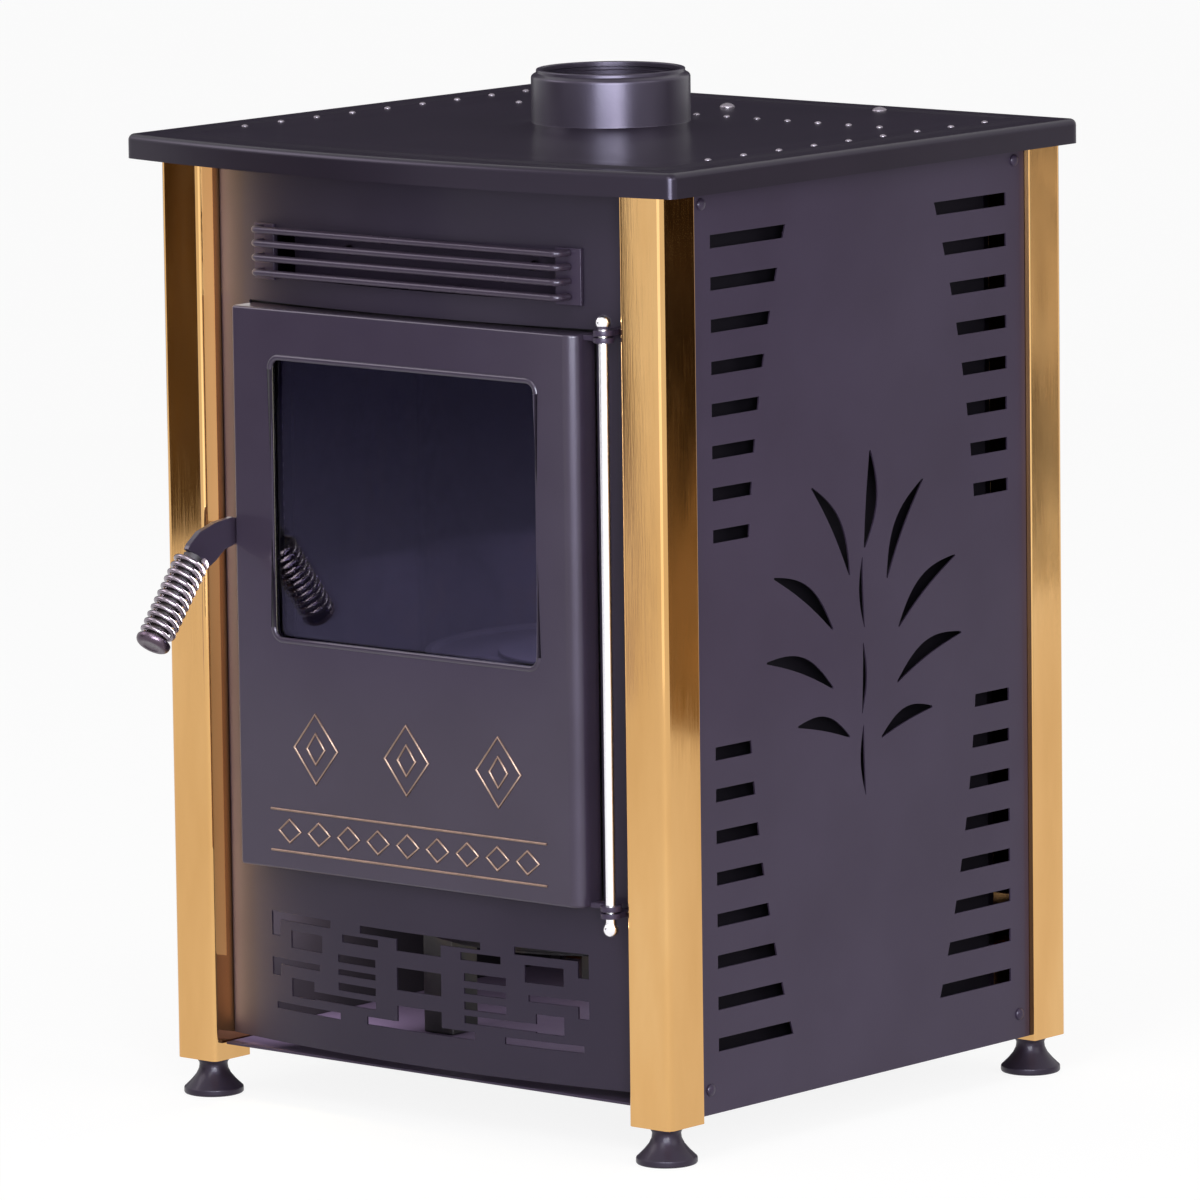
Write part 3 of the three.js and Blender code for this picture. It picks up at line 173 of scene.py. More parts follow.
def addPaint(name, dark, light, gloss, coat=0.25, shine=0.22, peel=True):
    # satin powder coat: fine orange peel, faint cloudiness and dust
    addLook(name, 0, gloss, (1, 9, 3), [(0.3, tone(*dark)), (0.7, tone(*light))],
            ((1, 24, 2, 0.4), gloss - 0.03, gloss + 0.05) if peel else None,
            [((1, 520, 2, 0.4), 0.07, 0.0006), ((1, 2600, 2), 0.04, 0.0002)] if peel else (),
            {"Specular IOR Level": shine, "Specular Tint": (0.82, 0.72, 1, 1),
             "Coat Weight": coat, "Coat Roughness": 0.14, "Coat IOR": 1.4})


def addMetal(name, color, roughness, wear):
    bright, fine = tone(*color), (1, 700, 4, 0.6)
    addLook(name, 1, roughness, (1, 60, 6, 0.6), [(0.3, (*(c * wear for c in bright[:3]), 1)), (0.65, bright)],
            (fine, roughness * 0.75, roughness * 1.35), [(fine, 0.08, 0.0003)])


def ironGrains():
    return addNode("TexVoronoi", {"Vector": objectSpot(), "Scale": 650})


def ropeYarns():
    return addNode("TexWave", {"Vector": objectSpot(turn=(0.5, 0.6, 0.7)), "Scale": 150, "Distortion": 2, "Detail": 2,
                               "Detail Scale": 3}).outputs["Fac"]


look = {}
# dark, light, gloss, then coat, shine and peel where they aren't the usual ones
for name, values in {
        "bodyPaint": ((57, 47, 66), (63, 53, 73), 0.42),
        # the front panel's paint is bodyPaint made darker: painted shade from the lid and the door over the panel
        "panelPaint": ((41, 34, 49), (46, 39, 54), 0.44),
        "doorPaint": ((59, 50, 67), (65, 56, 74), 0.33, 0.8),
        # the louvre bars' paint is a little lighter than bodyPaint: painted light that brightens the bars; its gloss
        # catches the lamps
        "barPaint": ((62, 52, 68), (70, 60, 76), 0.3, 0.4),
        "lidPaint": ((28, 22, 33), (34, 27, 39), 0.3, 0.08, 0.35, False),
        "collarPaint": ((38, 32, 43), (44, 38, 50), 0.34, 0.1, 0.62),
        # near black paint for the heat shield: painted shade where it shows through the side slots and the fret
        "sootPaint": ((13, 11, 15), (19, 16, 21), 0.6, 0),
        "footPaint": ((43, 36, 49), (50, 42, 56), 0.45)}.items():
    addPaint(name, *values)
# color, roughness, and how much of the color is left where it is worn
for name, values in {
        "brightSteel": ((226, 222, 228), 0.14, 0.8), "rodSteel": ((250, 248, 252), 0.2, 0.97),
        "springSteel": ((150, 139, 149), 0.24, 0.7), "capSteel": ((92, 79, 91), 0.3, 0.75),
        "screwSteel": ((150, 142, 152), 0.35, 0.6), "reliefBronze": ((150, 126, 114), 0.4, 0.7),
        "drawnCopper": ((206, 134, 96), 0.26, 0.62), "turnedBrass": ((204, 172, 100), 0.32, 0.7)}.items():
    addMetal(name, *values)
# mirror gold over thin sheet, so its reflections waver, with a few wiping streaks
streaks = (0.03, 900, 3, 0.6)
addLook("postGold", 1, 0.08, (0.22, 14, 4, 0.55),
        [(0.25, tone(206, 158, 98)), (0.55, tone(220, 173, 113)), (0.8, tone(230, 187, 129))],
        (streaks, 0.04, 0.11), [((0.35, 11, 1, 0.3), 0.2, 0.012), (streaks, 0.05, 0.0002)])
# heat has turned the plain sheet inside the stove grey brown with bluish temper marks
addLook("heatedSteel", 0.75, 0.5, (1, 12, 6, 0.65, 0.4),
        [(0.25, tone(46, 44, 50)), (0.5, tone(74, 70, 74)), (0.66, tone(88, 76, 70)), (0.8, tone(66, 66, 84))],
        ((1, 80, 5), 0.38, 0.62), [((1, 420, 4, 0.6), 0.15, 0.0005)])
addLook("castIron", 0.35, 0.72, (1, 40, 6, 0.6), [(0.3, tone(34, 33, 35)), (0.75, tone(66, 60, 58))],
        bumps=[(ironGrains, 0.35, 0.0007)])
# braided heat-proof cord: slanted yarns, pale with smoke stains
addLook("sealRope", 0, 0.95, (1, 26, 5, 0.6),
        [(0.3, tone(92, 84, 76)), (0.6, tone(146, 138, 126)), (0.8, tone(168, 160, 146))],
        bumps=[(ropeYarns, 0.6, 0.001)], plain={"Sheen Weight": 0.25})
addLook("smokedGlass", 0, 0.03, (1, 5, 3), [(0.3, tone(122, 116, 160)), (0.7, tone(136, 130, 174))],
        ((0.4, 30, 5, 0.7), 0.01, 0.05, 0.4, 0.8), plain={"Transmission Weight": 1, "IOR": 1.5})
addLook("knobPlastic", 0, 0.45, (1, 70), [(0.3, tone(26, 25, 28)), (0.7, tone(38, 36, 41))],
        bumps=[((1, 1800, 2), 0.2, 0.0003)])
print("materials ready:", len(look))


# ---- making and placing meshes ----

def link(name, data):
    made = bpy.data.objects.new(name, data)
    bpy.context.scene.collection.objects.link(made)
    return made


def thingFrom(bm, name, how=asIs):
    bm.transform(toRow @ how)
    mesh = bpy.data.meshes.new(name)
    bm.to_mesh(mesh)
    bm.free()
    return link(name, mesh)


def frozen(thing):
    # the evaluated object as a plain mesh, the modifiers gone
    graph = bpy.context.evaluated_depsgraph_get()
    graph.update()
    mesh = bpy.data.meshes.new_from_object(thing.evaluated_get(graph), preserve_all_data_layers=True, depsgraph=graph)
    old = thing.data
    if thing.type == "MESH":
        thing.modifiers.clear()
        thing.data = mesh
        bpy.data.meshes.remove(old)
        return thing
    name = thing.name
    bpy.data.objects.remove(thing)
    return link(name, mesh)


def applied(thing, kind, **settings):
    made = thing.modifiers.new(kind, kind)
    for key, value in settings.items():
        setattr(made, key, value)
    return frozen(thing)


def bevelled(thing, width, segments=2, angle=30):
    return applied(thing, "BEVEL", width=width * mm, segments=segments, limit_method="ANGLE",
                   angle_limit=radians(angle), use_clamp_overlap=True, miter_outer="MITER_ARC")


def cutWith(thing, cutter):
    applied(thing, "BOOLEAN", operation="DIFFERENCE", solver="EXACT", use_self=True, object=cutter)
    bpy.data.objects.remove(cutter)


def joined(thing, *others, merge=0, outward=False, how=asIs):
    # the others' faces go into the first one's mesh; outward turns the front of every face out
    bm = bmesh.new()
    for each in (thing, *others):
        bm.from_mesh(each.data)
    if merge:
        bmesh.ops.remove_doubles(bm, verts=bm.verts, dist=merge)
    if outward:
        bmesh.ops.recalc_face_normals(bm, faces=bm.faces)
    bm.transform(how)
    bm.to_mesh(thing.data)
    bm.free()
    for each in others:
        bpy.data.objects.remove(each)
    return thing


def settle(thing, body, material, nodes=(), smoothAngle=32, sheetWay=None):
    # last step of every piece: even shading, one material, its body, and the CAD nodes that it stands for;
    # faces square to sheetWay are the flat of a sheet and aren't smoothed
    thing.data.shade_smooth()
    thing.data.set_sharp_from_angle(angle=radians(smoothAngle))
    if sheetWay:
        for face in thing.data.polygons:
            face.use_smooth = abs(face.normal.dot(sheetWay)) < 0.9999
    applied(thing, "WEIGHTED_NORMAL", mode="FACE_AREA_WITH_ANGLE", keep_sharp=True)
    thing.data.materials.clear()
    thing.data.materials.append(look[material])
    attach(thing, body)
    if nodes:
        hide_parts(*nodes)


def roundedLoop(corners, steps=8):
    # corners as x, y and radius, the rounded ones turned into short runs
    points = []
    for index, corner in enumerate(corners):
        here = Vector(corner[:2])
        radius = corner[2] if len(corner) > 2 else 0
        if radius <= 0:
            points.append(here)
            continue
        back = (Vector(corners[index - 1][:2]) - here).normalized()
        ahead = (Vector(corners[(index + 1) % len(corners)][:2]) - here).normalized()
        half = back.angle(ahead) / 2
        middle = here + (back + ahead).normalized() * (radius / sin(half))
        start = here + back * (radius / tan(half)) - middle
        end = here + ahead * (radius / tan(half)) - middle
        sweep = start.angle_signed(end)  # clockwise is positive
        points += [middle + Matrix.Rotation(-sweep * step / steps, 2) @ start for step in range(steps + 1)]
    return points


def boxLoop(x0, x1, y0, y1, radius, steps=8):
    return roundedLoop([(x0, y0, radius), (x1, y0, radius), (x1, y1, radius), (x0, y1, radius)], steps)


def roundLoop(x, y, radius, steps=32):
    turns = [tau * k / steps for k in range(steps)]
    return [Vector((x + radius * cos(a), y + radius * sin(a))) for a in turns]


def curveFrom(name, runs, closed=True, **settings):
    curve = bpy.data.curves.new(name, "CURVE")
    for key, value in settings.items():
        setattr(curve, key, value)
    for run in runs:
        spline = curve.splines.new("POLY")
        spline.points.add(len(run) - 1)
        for point, place in zip(spline.points, run):
            point.co = (*Vector(place).to_3d(), 1)
        spline.use_cyclic_u = closed
    return link(name, curve)


def plate(name, loops, depth, edge, base, how=asIs):
    # a flat piece with holes, from outlines, its edges eased; thickness runs up from base before it is turned
    curve = curveFrom(name, loops, dimensions="2D", fill_mode="BOTH", extrude=depth / 2 - edge, bevel_depth=edge,
                      bevel_resolution=1, offset=-edge)
    lifted = toRow @ how @ Matrix.Translation((0, 0, base + depth / 2))
    return joined(frozen(curve), merge=0.001, outward=True, how=lifted)


def bridge(bm, rings):
    # faces from each ring of points to the next; a ring may be a single point
    for low, high in zip(rings, rings[1:]):
        steps = max(len(low), len(high))
        for k in range(steps):
            n = (k + 1) % steps
            around = (low[k % len(low)], low[n % len(low)], high[n % len(high)], high[k % len(high)])
            bm.faces.new(list(dict.fromkeys(around)))


def prism(loop, low, high):
    bm = bmesh.new()
    rings = [[bm.verts.new((x, y, z)) for x, y in loop] for z in (low, high)]
    bridge(bm, rings)
    for ring in rings:
        bm.faces.new(ring)
    bmesh.ops.recalc_face_normals(bm, faces=bm.faces)
    return bm


def turned(name, profile, steps, how=asIs):
    # a closed profile of radius and height, or one that starts and ends on the axis, spun about z
    bm = bmesh.new()
    rings = []
    for radius, height in profile:
        turns = [tau * k / steps for k in range(steps if radius else 1)]
        rings.append([bm.verts.new((radius * cos(a), radius * sin(a), height)) for a in turns])
    if profile[0][0]:
        rings.append(rings[0])
    bridge(bm, rings)
    bmesh.ops.recalc_face_normals(bm, faces=bm.faces)
    return thingFrom(bm, name, how)


def arcProfile(centreR, centreZ, radius, fromDeg, toDeg, steps):
    turns = [radians(fromDeg + (toDeg - fromDeg) * k / steps) for k in range(steps + 1)]
    return [(centreR + radius * cos(a), centreZ + radius * sin(a)) for a in turns]


def refined(node, name, width, segments=2):
    # a merged copy of a CAD node with its edges eased
    bm = bmesh.new()
    bm.from_mesh(frame["nodes"][node].data)
    bmesh.ops.remove_doubles(bm, verts=bm.verts, dist=2e-6)
    bmesh.ops.dissolve_limit(bm, angle_limit=radians(0.6), verts=bm.verts, edges=bm.edges)
    mesh = bpy.data.meshes.new(name)
    bm.to_mesh(mesh)
    bm.free()
    return bevelled(link(name, mesh), width, segments)


def refineAll(body, rows):
    # rows of node, name, width of the eased edge, material and slot
    for node, name, width, material, slot in rows:
        settle(refined(node, name, width), body, material, [node])


def blocks(name, boxes):
    bm = bmesh.new()
    for x0, x1, y0, y1, z0, z1 in boxes:
        made = bmesh.ops.create_cube(bm, size=1)
        middle = Matrix.Translation(((x0 + x1) / 2, (y0 + y1) / 2, (z0 + z1) / 2))
        bmesh.ops.transform(bm, verts=made["verts"], matrix=middle @ Matrix.Diagonal((x1 - x0, y1 - y0, z1 - z0, 1)))
    return thingFrom(bm, name)


# ---- Geometry Nodes ----

def newTree(name, inputs):
    tree = work["tree"] = bpy.data.node_groups.new(name, "GeometryNodeTree")
    kinds = {float: "Float", int: "Int", tuple: "Vector"}
    rows = [("Geometry", "INPUT", "Geometry")] + [(label, "INPUT", kinds[type(value)]) for label, value in inputs.items()]
    for label, way, kind in rows + [("Material", "INPUT", "Material"), ("Geometry", "OUTPUT", "Geometry")]:
        tree.interface.new_socket(label, in_out=way, socket_type="NodeSocket" + kind)
    return tree, tree.nodes.new("NodeGroupInput").outputs


def closeTree(geometry, given):
    real = addNode("RealizeInstances", {"Geometry": geometry})
    painted = addNode("SetMaterial", {"Geometry": real, "Material": given["Material"]})
    feed(work["tree"].nodes.new("NodeGroupOutput"), {0: painted})


def runTree(name, tree, values, material, host=None):
    # inputs go in by identifier before the first evaluation, and the result comes back as a plain mesh
    thing = host or link(name, bpy.data.meshes.new(name))
    made = thing.modifiers.new("build", "NODES")
    made.node_group = tree
    values = {**values, "Material": look[material]}
    for item in tree.interface.items_tree:
        if item.in_out == "INPUT" and item.name in values:
            value = values[item.name]
            made[item.identifier] = float(value) if item.socket_type == "NodeSocketFloat" else value
    thing = frozen(thing)
    thing.name = name
    return thing


def mathNode(operation, first, second=None):
    inputs = {0: first} if second is None else {0: first, 1: second}
    return addNode("Math", inputs, operation=operation)


def squatBall(given, segments, rings):
    ball = addNode("MeshUVSphere", {"Segments": segments, "Rings": rings, "Radius": given["Radius"]})
    squat = addNode("CombineXYZ", {"X": 1, "Y": 1, "Z": mathNode("DIVIDE", given["Height"], given["Radius"])})
    return addNode("Transform", {"Geometry": ball, "Scale": squat})


def swept(route, given, section, caps=True):
    profile = addNode("CurvePrimitiveCircle", {"Resolution": section, "Radius": given})
    return addNode("CurveToMesh", {"Curve": route, "Profile Curve": profile, "Fill Caps": caps})


def routeCurve(name, points, closed=True):
    return curveFrom(name, [[toRow @ Vector(p) for p in points]], closed, dimensions="3D", twist_mode="Z_UP")


def domeTree():
    # domed heads with a crossed groove on the points of a mesh, each facing along the point's own direction
    tree, given = newTree("domedHeads", {"Radius": 3.0, "Height": 1.5, "Groove": 0.5})
    length = mathNode("MULTIPLY", given["Radius"], 1.25)
    up = addNode("CombineXYZ", {"Z": mathNode("MULTIPLY", given["Height"], 1.05)})
    bars = []
    for x, y in ((length, given["Groove"]), (given["Groove"], length)):
        bar = addNode("MeshCube", {"Size": addNode("CombineXYZ", {"X": x, "Y": y, "Z": given["Height"]})})
        bars.append(addNode("Transform", {"Geometry": bar, "Translation": up}))
    head = addNode("MeshBoolean", {
        "Mesh 1": squatBall(given, 20, 12), "Mesh 2": addNode("JoinGeometry", {"Geometry": bars})},
        operation="DIFFERENCE")
    facing = addNode("InputNamedAttribute", {"Name": "facing"}, data_type="FLOAT_VECTOR")
    turn = addNode("AlignRotationToVector", {"Vector": facing}, axis="Z")
    spots = addNode("InstanceOnPoints", {"Points": given["Geometry"], "Instance": head, "Rotation": turn})
    closeTree(spots, given)
    return tree


heads = domeTree()


def headsOn(name, places, radius, height, groove, material):
    # places as x, y, z and the direction that the head faces
    mesh = bpy.data.meshes.new(name)
    mesh.from_pydata([toRow @ Vector(place) for place, _ in places], [], [])
    facing = mesh.attributes.new("facing", "FLOAT_VECTOR", "POINT")
    facing.data.foreach_set("vector", [c for _, way in places for c in way])
    sizes = {"Radius": radius * mm, "Height": height * mm, "Groove": groove * mm}
    settle(runTree(name, heads, sizes, material, link(name, mesh)), "cabinet", material, smoothAngle=50)


# ---- corner posts ----

post = {"size": 41, "wall": 1.5, "corner": 6, "frontCorner": 4.5, "foldedCorner": 1.2, "hollowCorner": 1.5,
        "low": 29, "plate": 3, "plateLift": 0.02, "edge": 0.25}
for place, sideX, sideY in cornerSides:
    outerX, outerY = sideX * halfWidth, sideY * halfDepth
    innerX, innerY = outerX - sideX * post["size"], outerY - sideY * post["size"]
    wallX, wallY = sideX * post["wall"], sideY * post["wall"]
    outline = roundedLoop([(outerX, outerY, post["corner"]), (innerX, outerY, post["frontCorner"]),
                           (innerX, innerY, post["foldedCorner"]), (outerX, innerY, post["foldedCorner"])])
    insideX, insideY = sorted((outerX - wallX, innerX + wallX)), sorted((outerY - wallY, innerY + wallY))
    hollow = boxLoop(*insideX, *insideY, post["hollowCorner"])
    tube = plate("corner_" + place, [outline, hollow], bodyTop - post["low"], post["edge"], post["low"])
    joined(tube, plate("end", [hollow], post["plate"], 0, post["low"] + post["plateLift"]))
    settle(tube, "cabinet", "postGold", ["post_" + place])
print("posts done")

# ---- feet ----

foot = {"x": 229.5, "y": 222.5, "base": 23.3, "edge": 5, "top": 12.5, "height": 28.7, "studTop": 39, "stud": 4.5,
        "neck": [(17.5, 10.5), (13.6, 15.2), (11.5, 19.5), (11, 23), (11.3, 24.6)]}
footProfile = (
    [(0, 0), (foot["base"] - 2, 0)] + arcProfile(foot["base"] - 1.6, 1.8, 1.6, -90, 0, 3)
    + arcProfile(foot["base"] - 2.2, foot["edge"] - 1, 2.2, 10, 62, 4) + foot["neck"]
    + [(foot["top"], 26.2), (foot["top"], foot["height"] - 0.6), (foot["top"] - 0.6, foot["height"]),
       (foot["stud"], foot["height"]), (foot["stud"], foot["studTop"]), (0, foot["studTop"])])
for place, sideX, sideY in cornerSides:
    made = turned("levelling_" + place, footProfile, 56, Matrix.Translation((sideX * foot["x"], sideY * foot["y"], 0)))
    settle(made, "cabinet", "footPaint", ["foot_" + place], 40)
print("feet done")

# ---- lid: one pressed sheet lofted from its outline to the flue hole ----

lid = {
    "top": 750, "skirt": 19, "halfWidth": 273, "frontY": -255, "rise": 28, "rearY": 236, "edge": 5, "corner": 6.5,
    "straight": 6, "sheet": 2, "hole": 57.3, "blend": 4, "bead": 1.6, "beadFrom": 27, "beadWidth": 7,
    "dip": 0.9, "dipFrom": 62, "dipWidth": 5, "collar": 61.5, "flare": 4.2, "flareReach": 13,
    "bowSteps": 60, "around": 360, "leastGap": 0.4, "rings": 64, "easedRings": 3,
}


def lidFront(x):
    return bowedY(x, lid["halfWidth"], lid["rise"], lid["frontY"])


def lidHeight(x, y):
    sides = [lid["halfWidth"] - abs(x), y - lidFront(x), lid["rearY"] - y]
    near = -lid["blend"] * log(sum(exp(-s / lid["blend"]) for s in sides))  # a soft least distance to the edge
    bead = lid["bead"] * exp(-((near - lid["beadFrom"]) / lid["beadWidth"]) ** 2)
    dip = lid["dip"] / (1 + exp(-(near - lid["dipFrom"]) / lid["dipWidth"]))
    return lid["top"] + bead - dip + lid["flare"] * exp(-(hypot(x, y) - lid["collar"]) / lid["flareReach"])


def lidOutline():
    # even points along the edge and the rounded corners' own ones, in the order of their angle
    corners = [(x, lidFront(x)) for x in (
        -lid["halfWidth"] + 2 * lid["halfWidth"] * k / lid["bowSteps"] for k in range(lid["bowSteps"] + 1))]
    corners[0] += (lid["corner"],)
    corners[-1] += (lid["corner"],)
    loop = roundedLoop(corners + [(x, lid["rearY"], lid["corner"]) for x in (lid["halfWidth"], -lid["halfWidth"])], 6)
    lengths = [0]
    for a, b in zip(loop, loop[1:] + loop[:1]):
        lengths.append(lengths[-1] + (b - a).length)
    even = []
    at = 0
    for k in range(lid["around"]):
        goal = lengths[-1] * k / lid["around"]
        while lengths[at + 1] < goal:
            at += 1
        a, b = loop[at], loop[(at + 1) % len(loop)]
        even.append(a.lerp(b, (goal - lengths[at]) / max(1e-9, lengths[at + 1] - lengths[at])))
    ordered = sorted(even + loop, key=lambda p: atan2(p.y, p.x))
    kept = [ordered[0]]
    for p in ordered[1:]:
        if min((p - kept[-1]).length, (p - kept[0]).length) > lid["leastGap"]:
            kept.append(p)
    return kept


outline = lidOutline()
inward = []
for k in range(len(outline)):
    along = (outline[(k + 1) % len(outline)] - outline[k - 1]).normalized()
    inward.append(Vector((-along.y, along.x)))
edge, top = lid["edge"], lid["top"]
skirt = [(0, top - lid["skirt"]), (0, top - edge - lid["straight"])]
skirt += [(edge * (1 - cos(a)), top - edge * (1 - sin(a))) for a in map(radians, range(0, 91, 15))]
bm = bmesh.new()
rings = [[bm.verts.new((*(p + n * inset), height)) for p, n in zip(outline, inward)] for inset, height in skirt]
for ring in range(1, lid["rings"] + 1):
    row = []
    for p, n in zip(outline, inward):
        spot = (p + n * edge).lerp(p.normalized() * lid["hole"], ring / lid["rings"])
        row.append(bm.verts.new((*spot, top + (lidHeight(*spot) - top) * min(1, ring / lid["easedRings"]))))
    rings.append(row)
bridge(bm, rings)
lidPiece = thingFrom(bm, "pressed_lid")
applied(lidPiece, "SOLIDIFY", thickness=lid["sheet"] * mm, offset=-1, use_rim=True)
settle(lidPiece, "cabinet", "lidPaint", ["top_plate"], 60)

# start, pitch and number of each row
pip = {"radius": 2.7, "height": 1.5, "lift": 0.1, "rows": {
    "left": ((-232, -164), (0, 41.7), 9), "right": ((232, -164), (0, 41.7), 9), "rear": ((-182, 103), (30.33, 0), 13)}}
tree, given = newTree("pipRows", {"Count": 9, "Start": (0, 0, 0), "Pitch": (0, 0, 0), "Radius": 1.0, "Height": 1.0})
row = addNode("MeshLine", {"Count": given["Count"], "Start Location": given["Start"], "Offset": given["Pitch"]})
closeTree(addNode("InstanceOnPoints", {"Points": row, "Instance": squatBall(given, 18, 10)}), given)
for side, (start, pitch, count) in pip["rows"].items():
    made = runTree("lid_pips_" + side, tree, {
        "Count": count, "Start": toRow @ Vector((*start, lidHeight(*start) + pip["lift"])),
        "Pitch": Vector((*pitch, 0)) * mm, "Radius": pip["radius"] * mm, "Height": pip["height"] * mm}, "screwSteel")
    settle(made, "cabinet", "screwSteel", smoothAngle=80)

lidBolts = [((-16, 160, 749.6), (0, 0, 1)), ((105, 199.5, 749.6), (0, 0, 1))]
headsOn("lid_bolts", lidBolts, 6, 3.4, 1.1, "screwSteel")
print("lid done")

# ---- flue collar ----

collar = {"radius": 61.5, "rim": 57.5, "bore": 54, "low": 750.3, "spigot": 57, "spigotLow": 715, "rimZ": 793.2, "groove": 1.9}
collarProfile = (
    [(collar["bore"], collar["spigotLow"]), (collar["spigot"], collar["spigotLow"]), (collar["spigot"], collar["low"]),
     (collar["radius"] + 2.6, collar["low"] + 0.4)]
    + arcProfile(collar["radius"] + 3, collar["low"] + 3.6, 3, 262, 180, 5) + [(collar["radius"], 786.5)]
    + arcProfile(collar["radius"] - 3, 787.2, 3, 0, 62, 5)
    + [(collar["rim"] + 0.6, 790.9), (collar["rim"], 791.3), (collar["rim"], collar["rimZ"])]
    + arcProfile(collar["rim"] - 0.8, collar["rimZ"], 0.8, 0, 90, 3)
    + arcProfile(collar["bore"] + 0.8, collar["rimZ"], 0.8, 90, 180, 3)
    + [(collar["bore"], 790.3), (collar["bore"] + collar["groove"], 789.7), (collar["bore"] + collar["groove"], 787.6),
       (collar["bore"], 787)])
settle(turned("flue_ring", collarProfile, 96), "cabinet", "collarPaint", ["flue_collar"], 40)
print("collar done")

# ---- front panel: a bowed sheet cut for the louvre, the door and the fret ----

panel = {"low": 50, "halfSpan": 208.7, "returnY": -205, "steps": 84, "cutY": (-262, -198),
         "holes": ((-141, 141, 645, 681), (-174, 174, 188.5, 625.5), (-183, -171, 428, 466)),
         "fretHalf": 160, "fretLow": 76, "fretHeight": 76}
fretSlots = [  # left, right, top and bottom, as shares of the fret's left half
    (0, 0.21, 0, 0.08), (0, 0.03, 0, 0.25), (0.07, 0.18, 0.17, 0.35), (0, 0.17, 0.475, 0.54), (0, 0.03, 0.475, 0.66),
    (0.07, 0.15, 0.66, 0.85), (0.15, 0.36, 0.76, 0.84), (0.015, 0.24, 0.93, 1), (0.235, 0.36, 0.33, 0.41),
    (0.235, 0.36, 0.48, 0.54), (0.235, 0.36, 0.62, 0.7), (0.25, 0.37, 0.12, 0.2), (0.31, 0.55, 0, 0.08),
    (0.43, 0.55, 0, 0.2), (0.43, 0.55, 0.37, 0.6), (0.33, 0.55, 0.92, 1), (0.43, 0.55, 0.76, 1),
]
span, fold = panel["halfSpan"], panel["halfSpan"] - sheet
across = [-span + 2 * span * k / panel["steps"] for k in range(panel["steps"] + 1)]
inner = [(x, bowedY(x, **bow) + sheet) for x in across[1:-1]]
foldY = bowedY(fold, **bow) + sheet
loop = [(x, bowedY(x, **bow)) for x in across] + [(span, panel["returnY"]), (fold, panel["returnY"]), (fold, foldY)]
loop += inner[::-1][1:-1] + [(-fold, foldY), (-fold, panel["returnY"]), (-span, panel["returnY"])]
frontPiece = thingFrom(prism(loop, panel["low"], bodyTop), "bowed_front")
cuts = [(x0, x1, *panel["cutY"], z0, z1) for x0, x1, z0, z1 in panel["holes"]]
for left, right, top, bottom in fretSlots:
    x0, x1 = (-panel["fretHalf"] + 2 * panel["fretHalf"] * s for s in (left, right))
    z0, z1 = (panel["fretLow"] + panel["fretHeight"] * (1 - s) for s in (bottom, top))
    cuts += [(x0, x1, *panel["cutY"], z0, z1), (-x1, -x0, *panel["cutY"], z0, z1)]
cutWith(frontPiece, blocks("frontCuts", cuts))
# the front panel takes the darker paint, painted shade of the lid and the door
settle(frontPiece, "cabinet", "panelPaint", ["front_panel"])
print("front panel done")

# ---- side panels: slots in rows cut off on an arc, round a spray of bent leaves ----

side = {"low": 33, "halfSpan": 201.7, "outerX": 245, "fold": 15, "foldInset": 0.2, "middle": 388, "corner": 1.2,
        "slots": {"Rows": 8, "Start": 82.0, "Pitch": 31.6, "Height": 10.0, "Outer": 178.5, "Shortest": 39.0,
                  "Arc": 980.0, "Sheet": sheet},
        "sprigHalfY": 118, "sprigHalfZ": 129, "sprigMiddle": 385, "bluntTip": 0.04}
sprig = [  # across, up, turn, length, width, bend
    (-0.34, 0.56, 122, 84, 12, -9), (-0.62, 0.16, 146, 84, 12, -9), (-0.66, -0.26, 160, 84, 12, -9),
    (-0.42, -0.62, 166, 64, 11, -7), (0.44, 0.5, 58, 84, 12, 9), (0.66, 0.1, 34, 84, 12, 9), (0.68, -0.3, 20, 84, 12, 9),
    (0.44, -0.66, 14, 64, 11, 7), (0.04, 0.72, 84, 74, 14, -6), (0, 0.17, 92, 54, 5, 3), (-0.02, -0.34, 88, 54, 5, -3),
    (0, -0.83, 92, 54, 5, 3),
]


def leafLoop(acrossShare, upShare, turn, length, width, bend, steps=16):
    middle = Vector((acrossShare * side["sprigHalfY"], side["sprigMiddle"] - side["middle"] + upShare * side["sprigHalfZ"]))
    along = Vector((cos(radians(turn)), sin(radians(turn))))
    sideways = Vector((-along.y, along.x))
    points = []
    for way in (1, -1):
        for k in range(steps + 1)[::way]:
            share = side["bluntTip"] + (1 - 2 * side["bluntTip"]) * k / steps
            swell = (bend + way * width / 2) * sin(pi * share)
            points.append(middle + along * ((k / steps - 0.5) * length) + sideways * swell)
    return points


slotted, given = newTree("slottedPanel", side["slots"])
column = addNode("MeshLine", {
    "Count": given["Rows"], "Start Location": addNode("CombineXYZ", {"Y": given["Start"]}),
    "Offset": addNode("CombineXYZ", {"Y": given["Pitch"]})})
slot = addNode("CurvePrimitiveQuadrilateral", {
    "Width": mathNode("MULTIPLY", given["Outer"], 2), "Height": given["Height"]})
rows = addNode("RealizeInstances", {
    "Geometry": addNode("InstanceOnPoints", {"Points": column, "Instance": slot})})
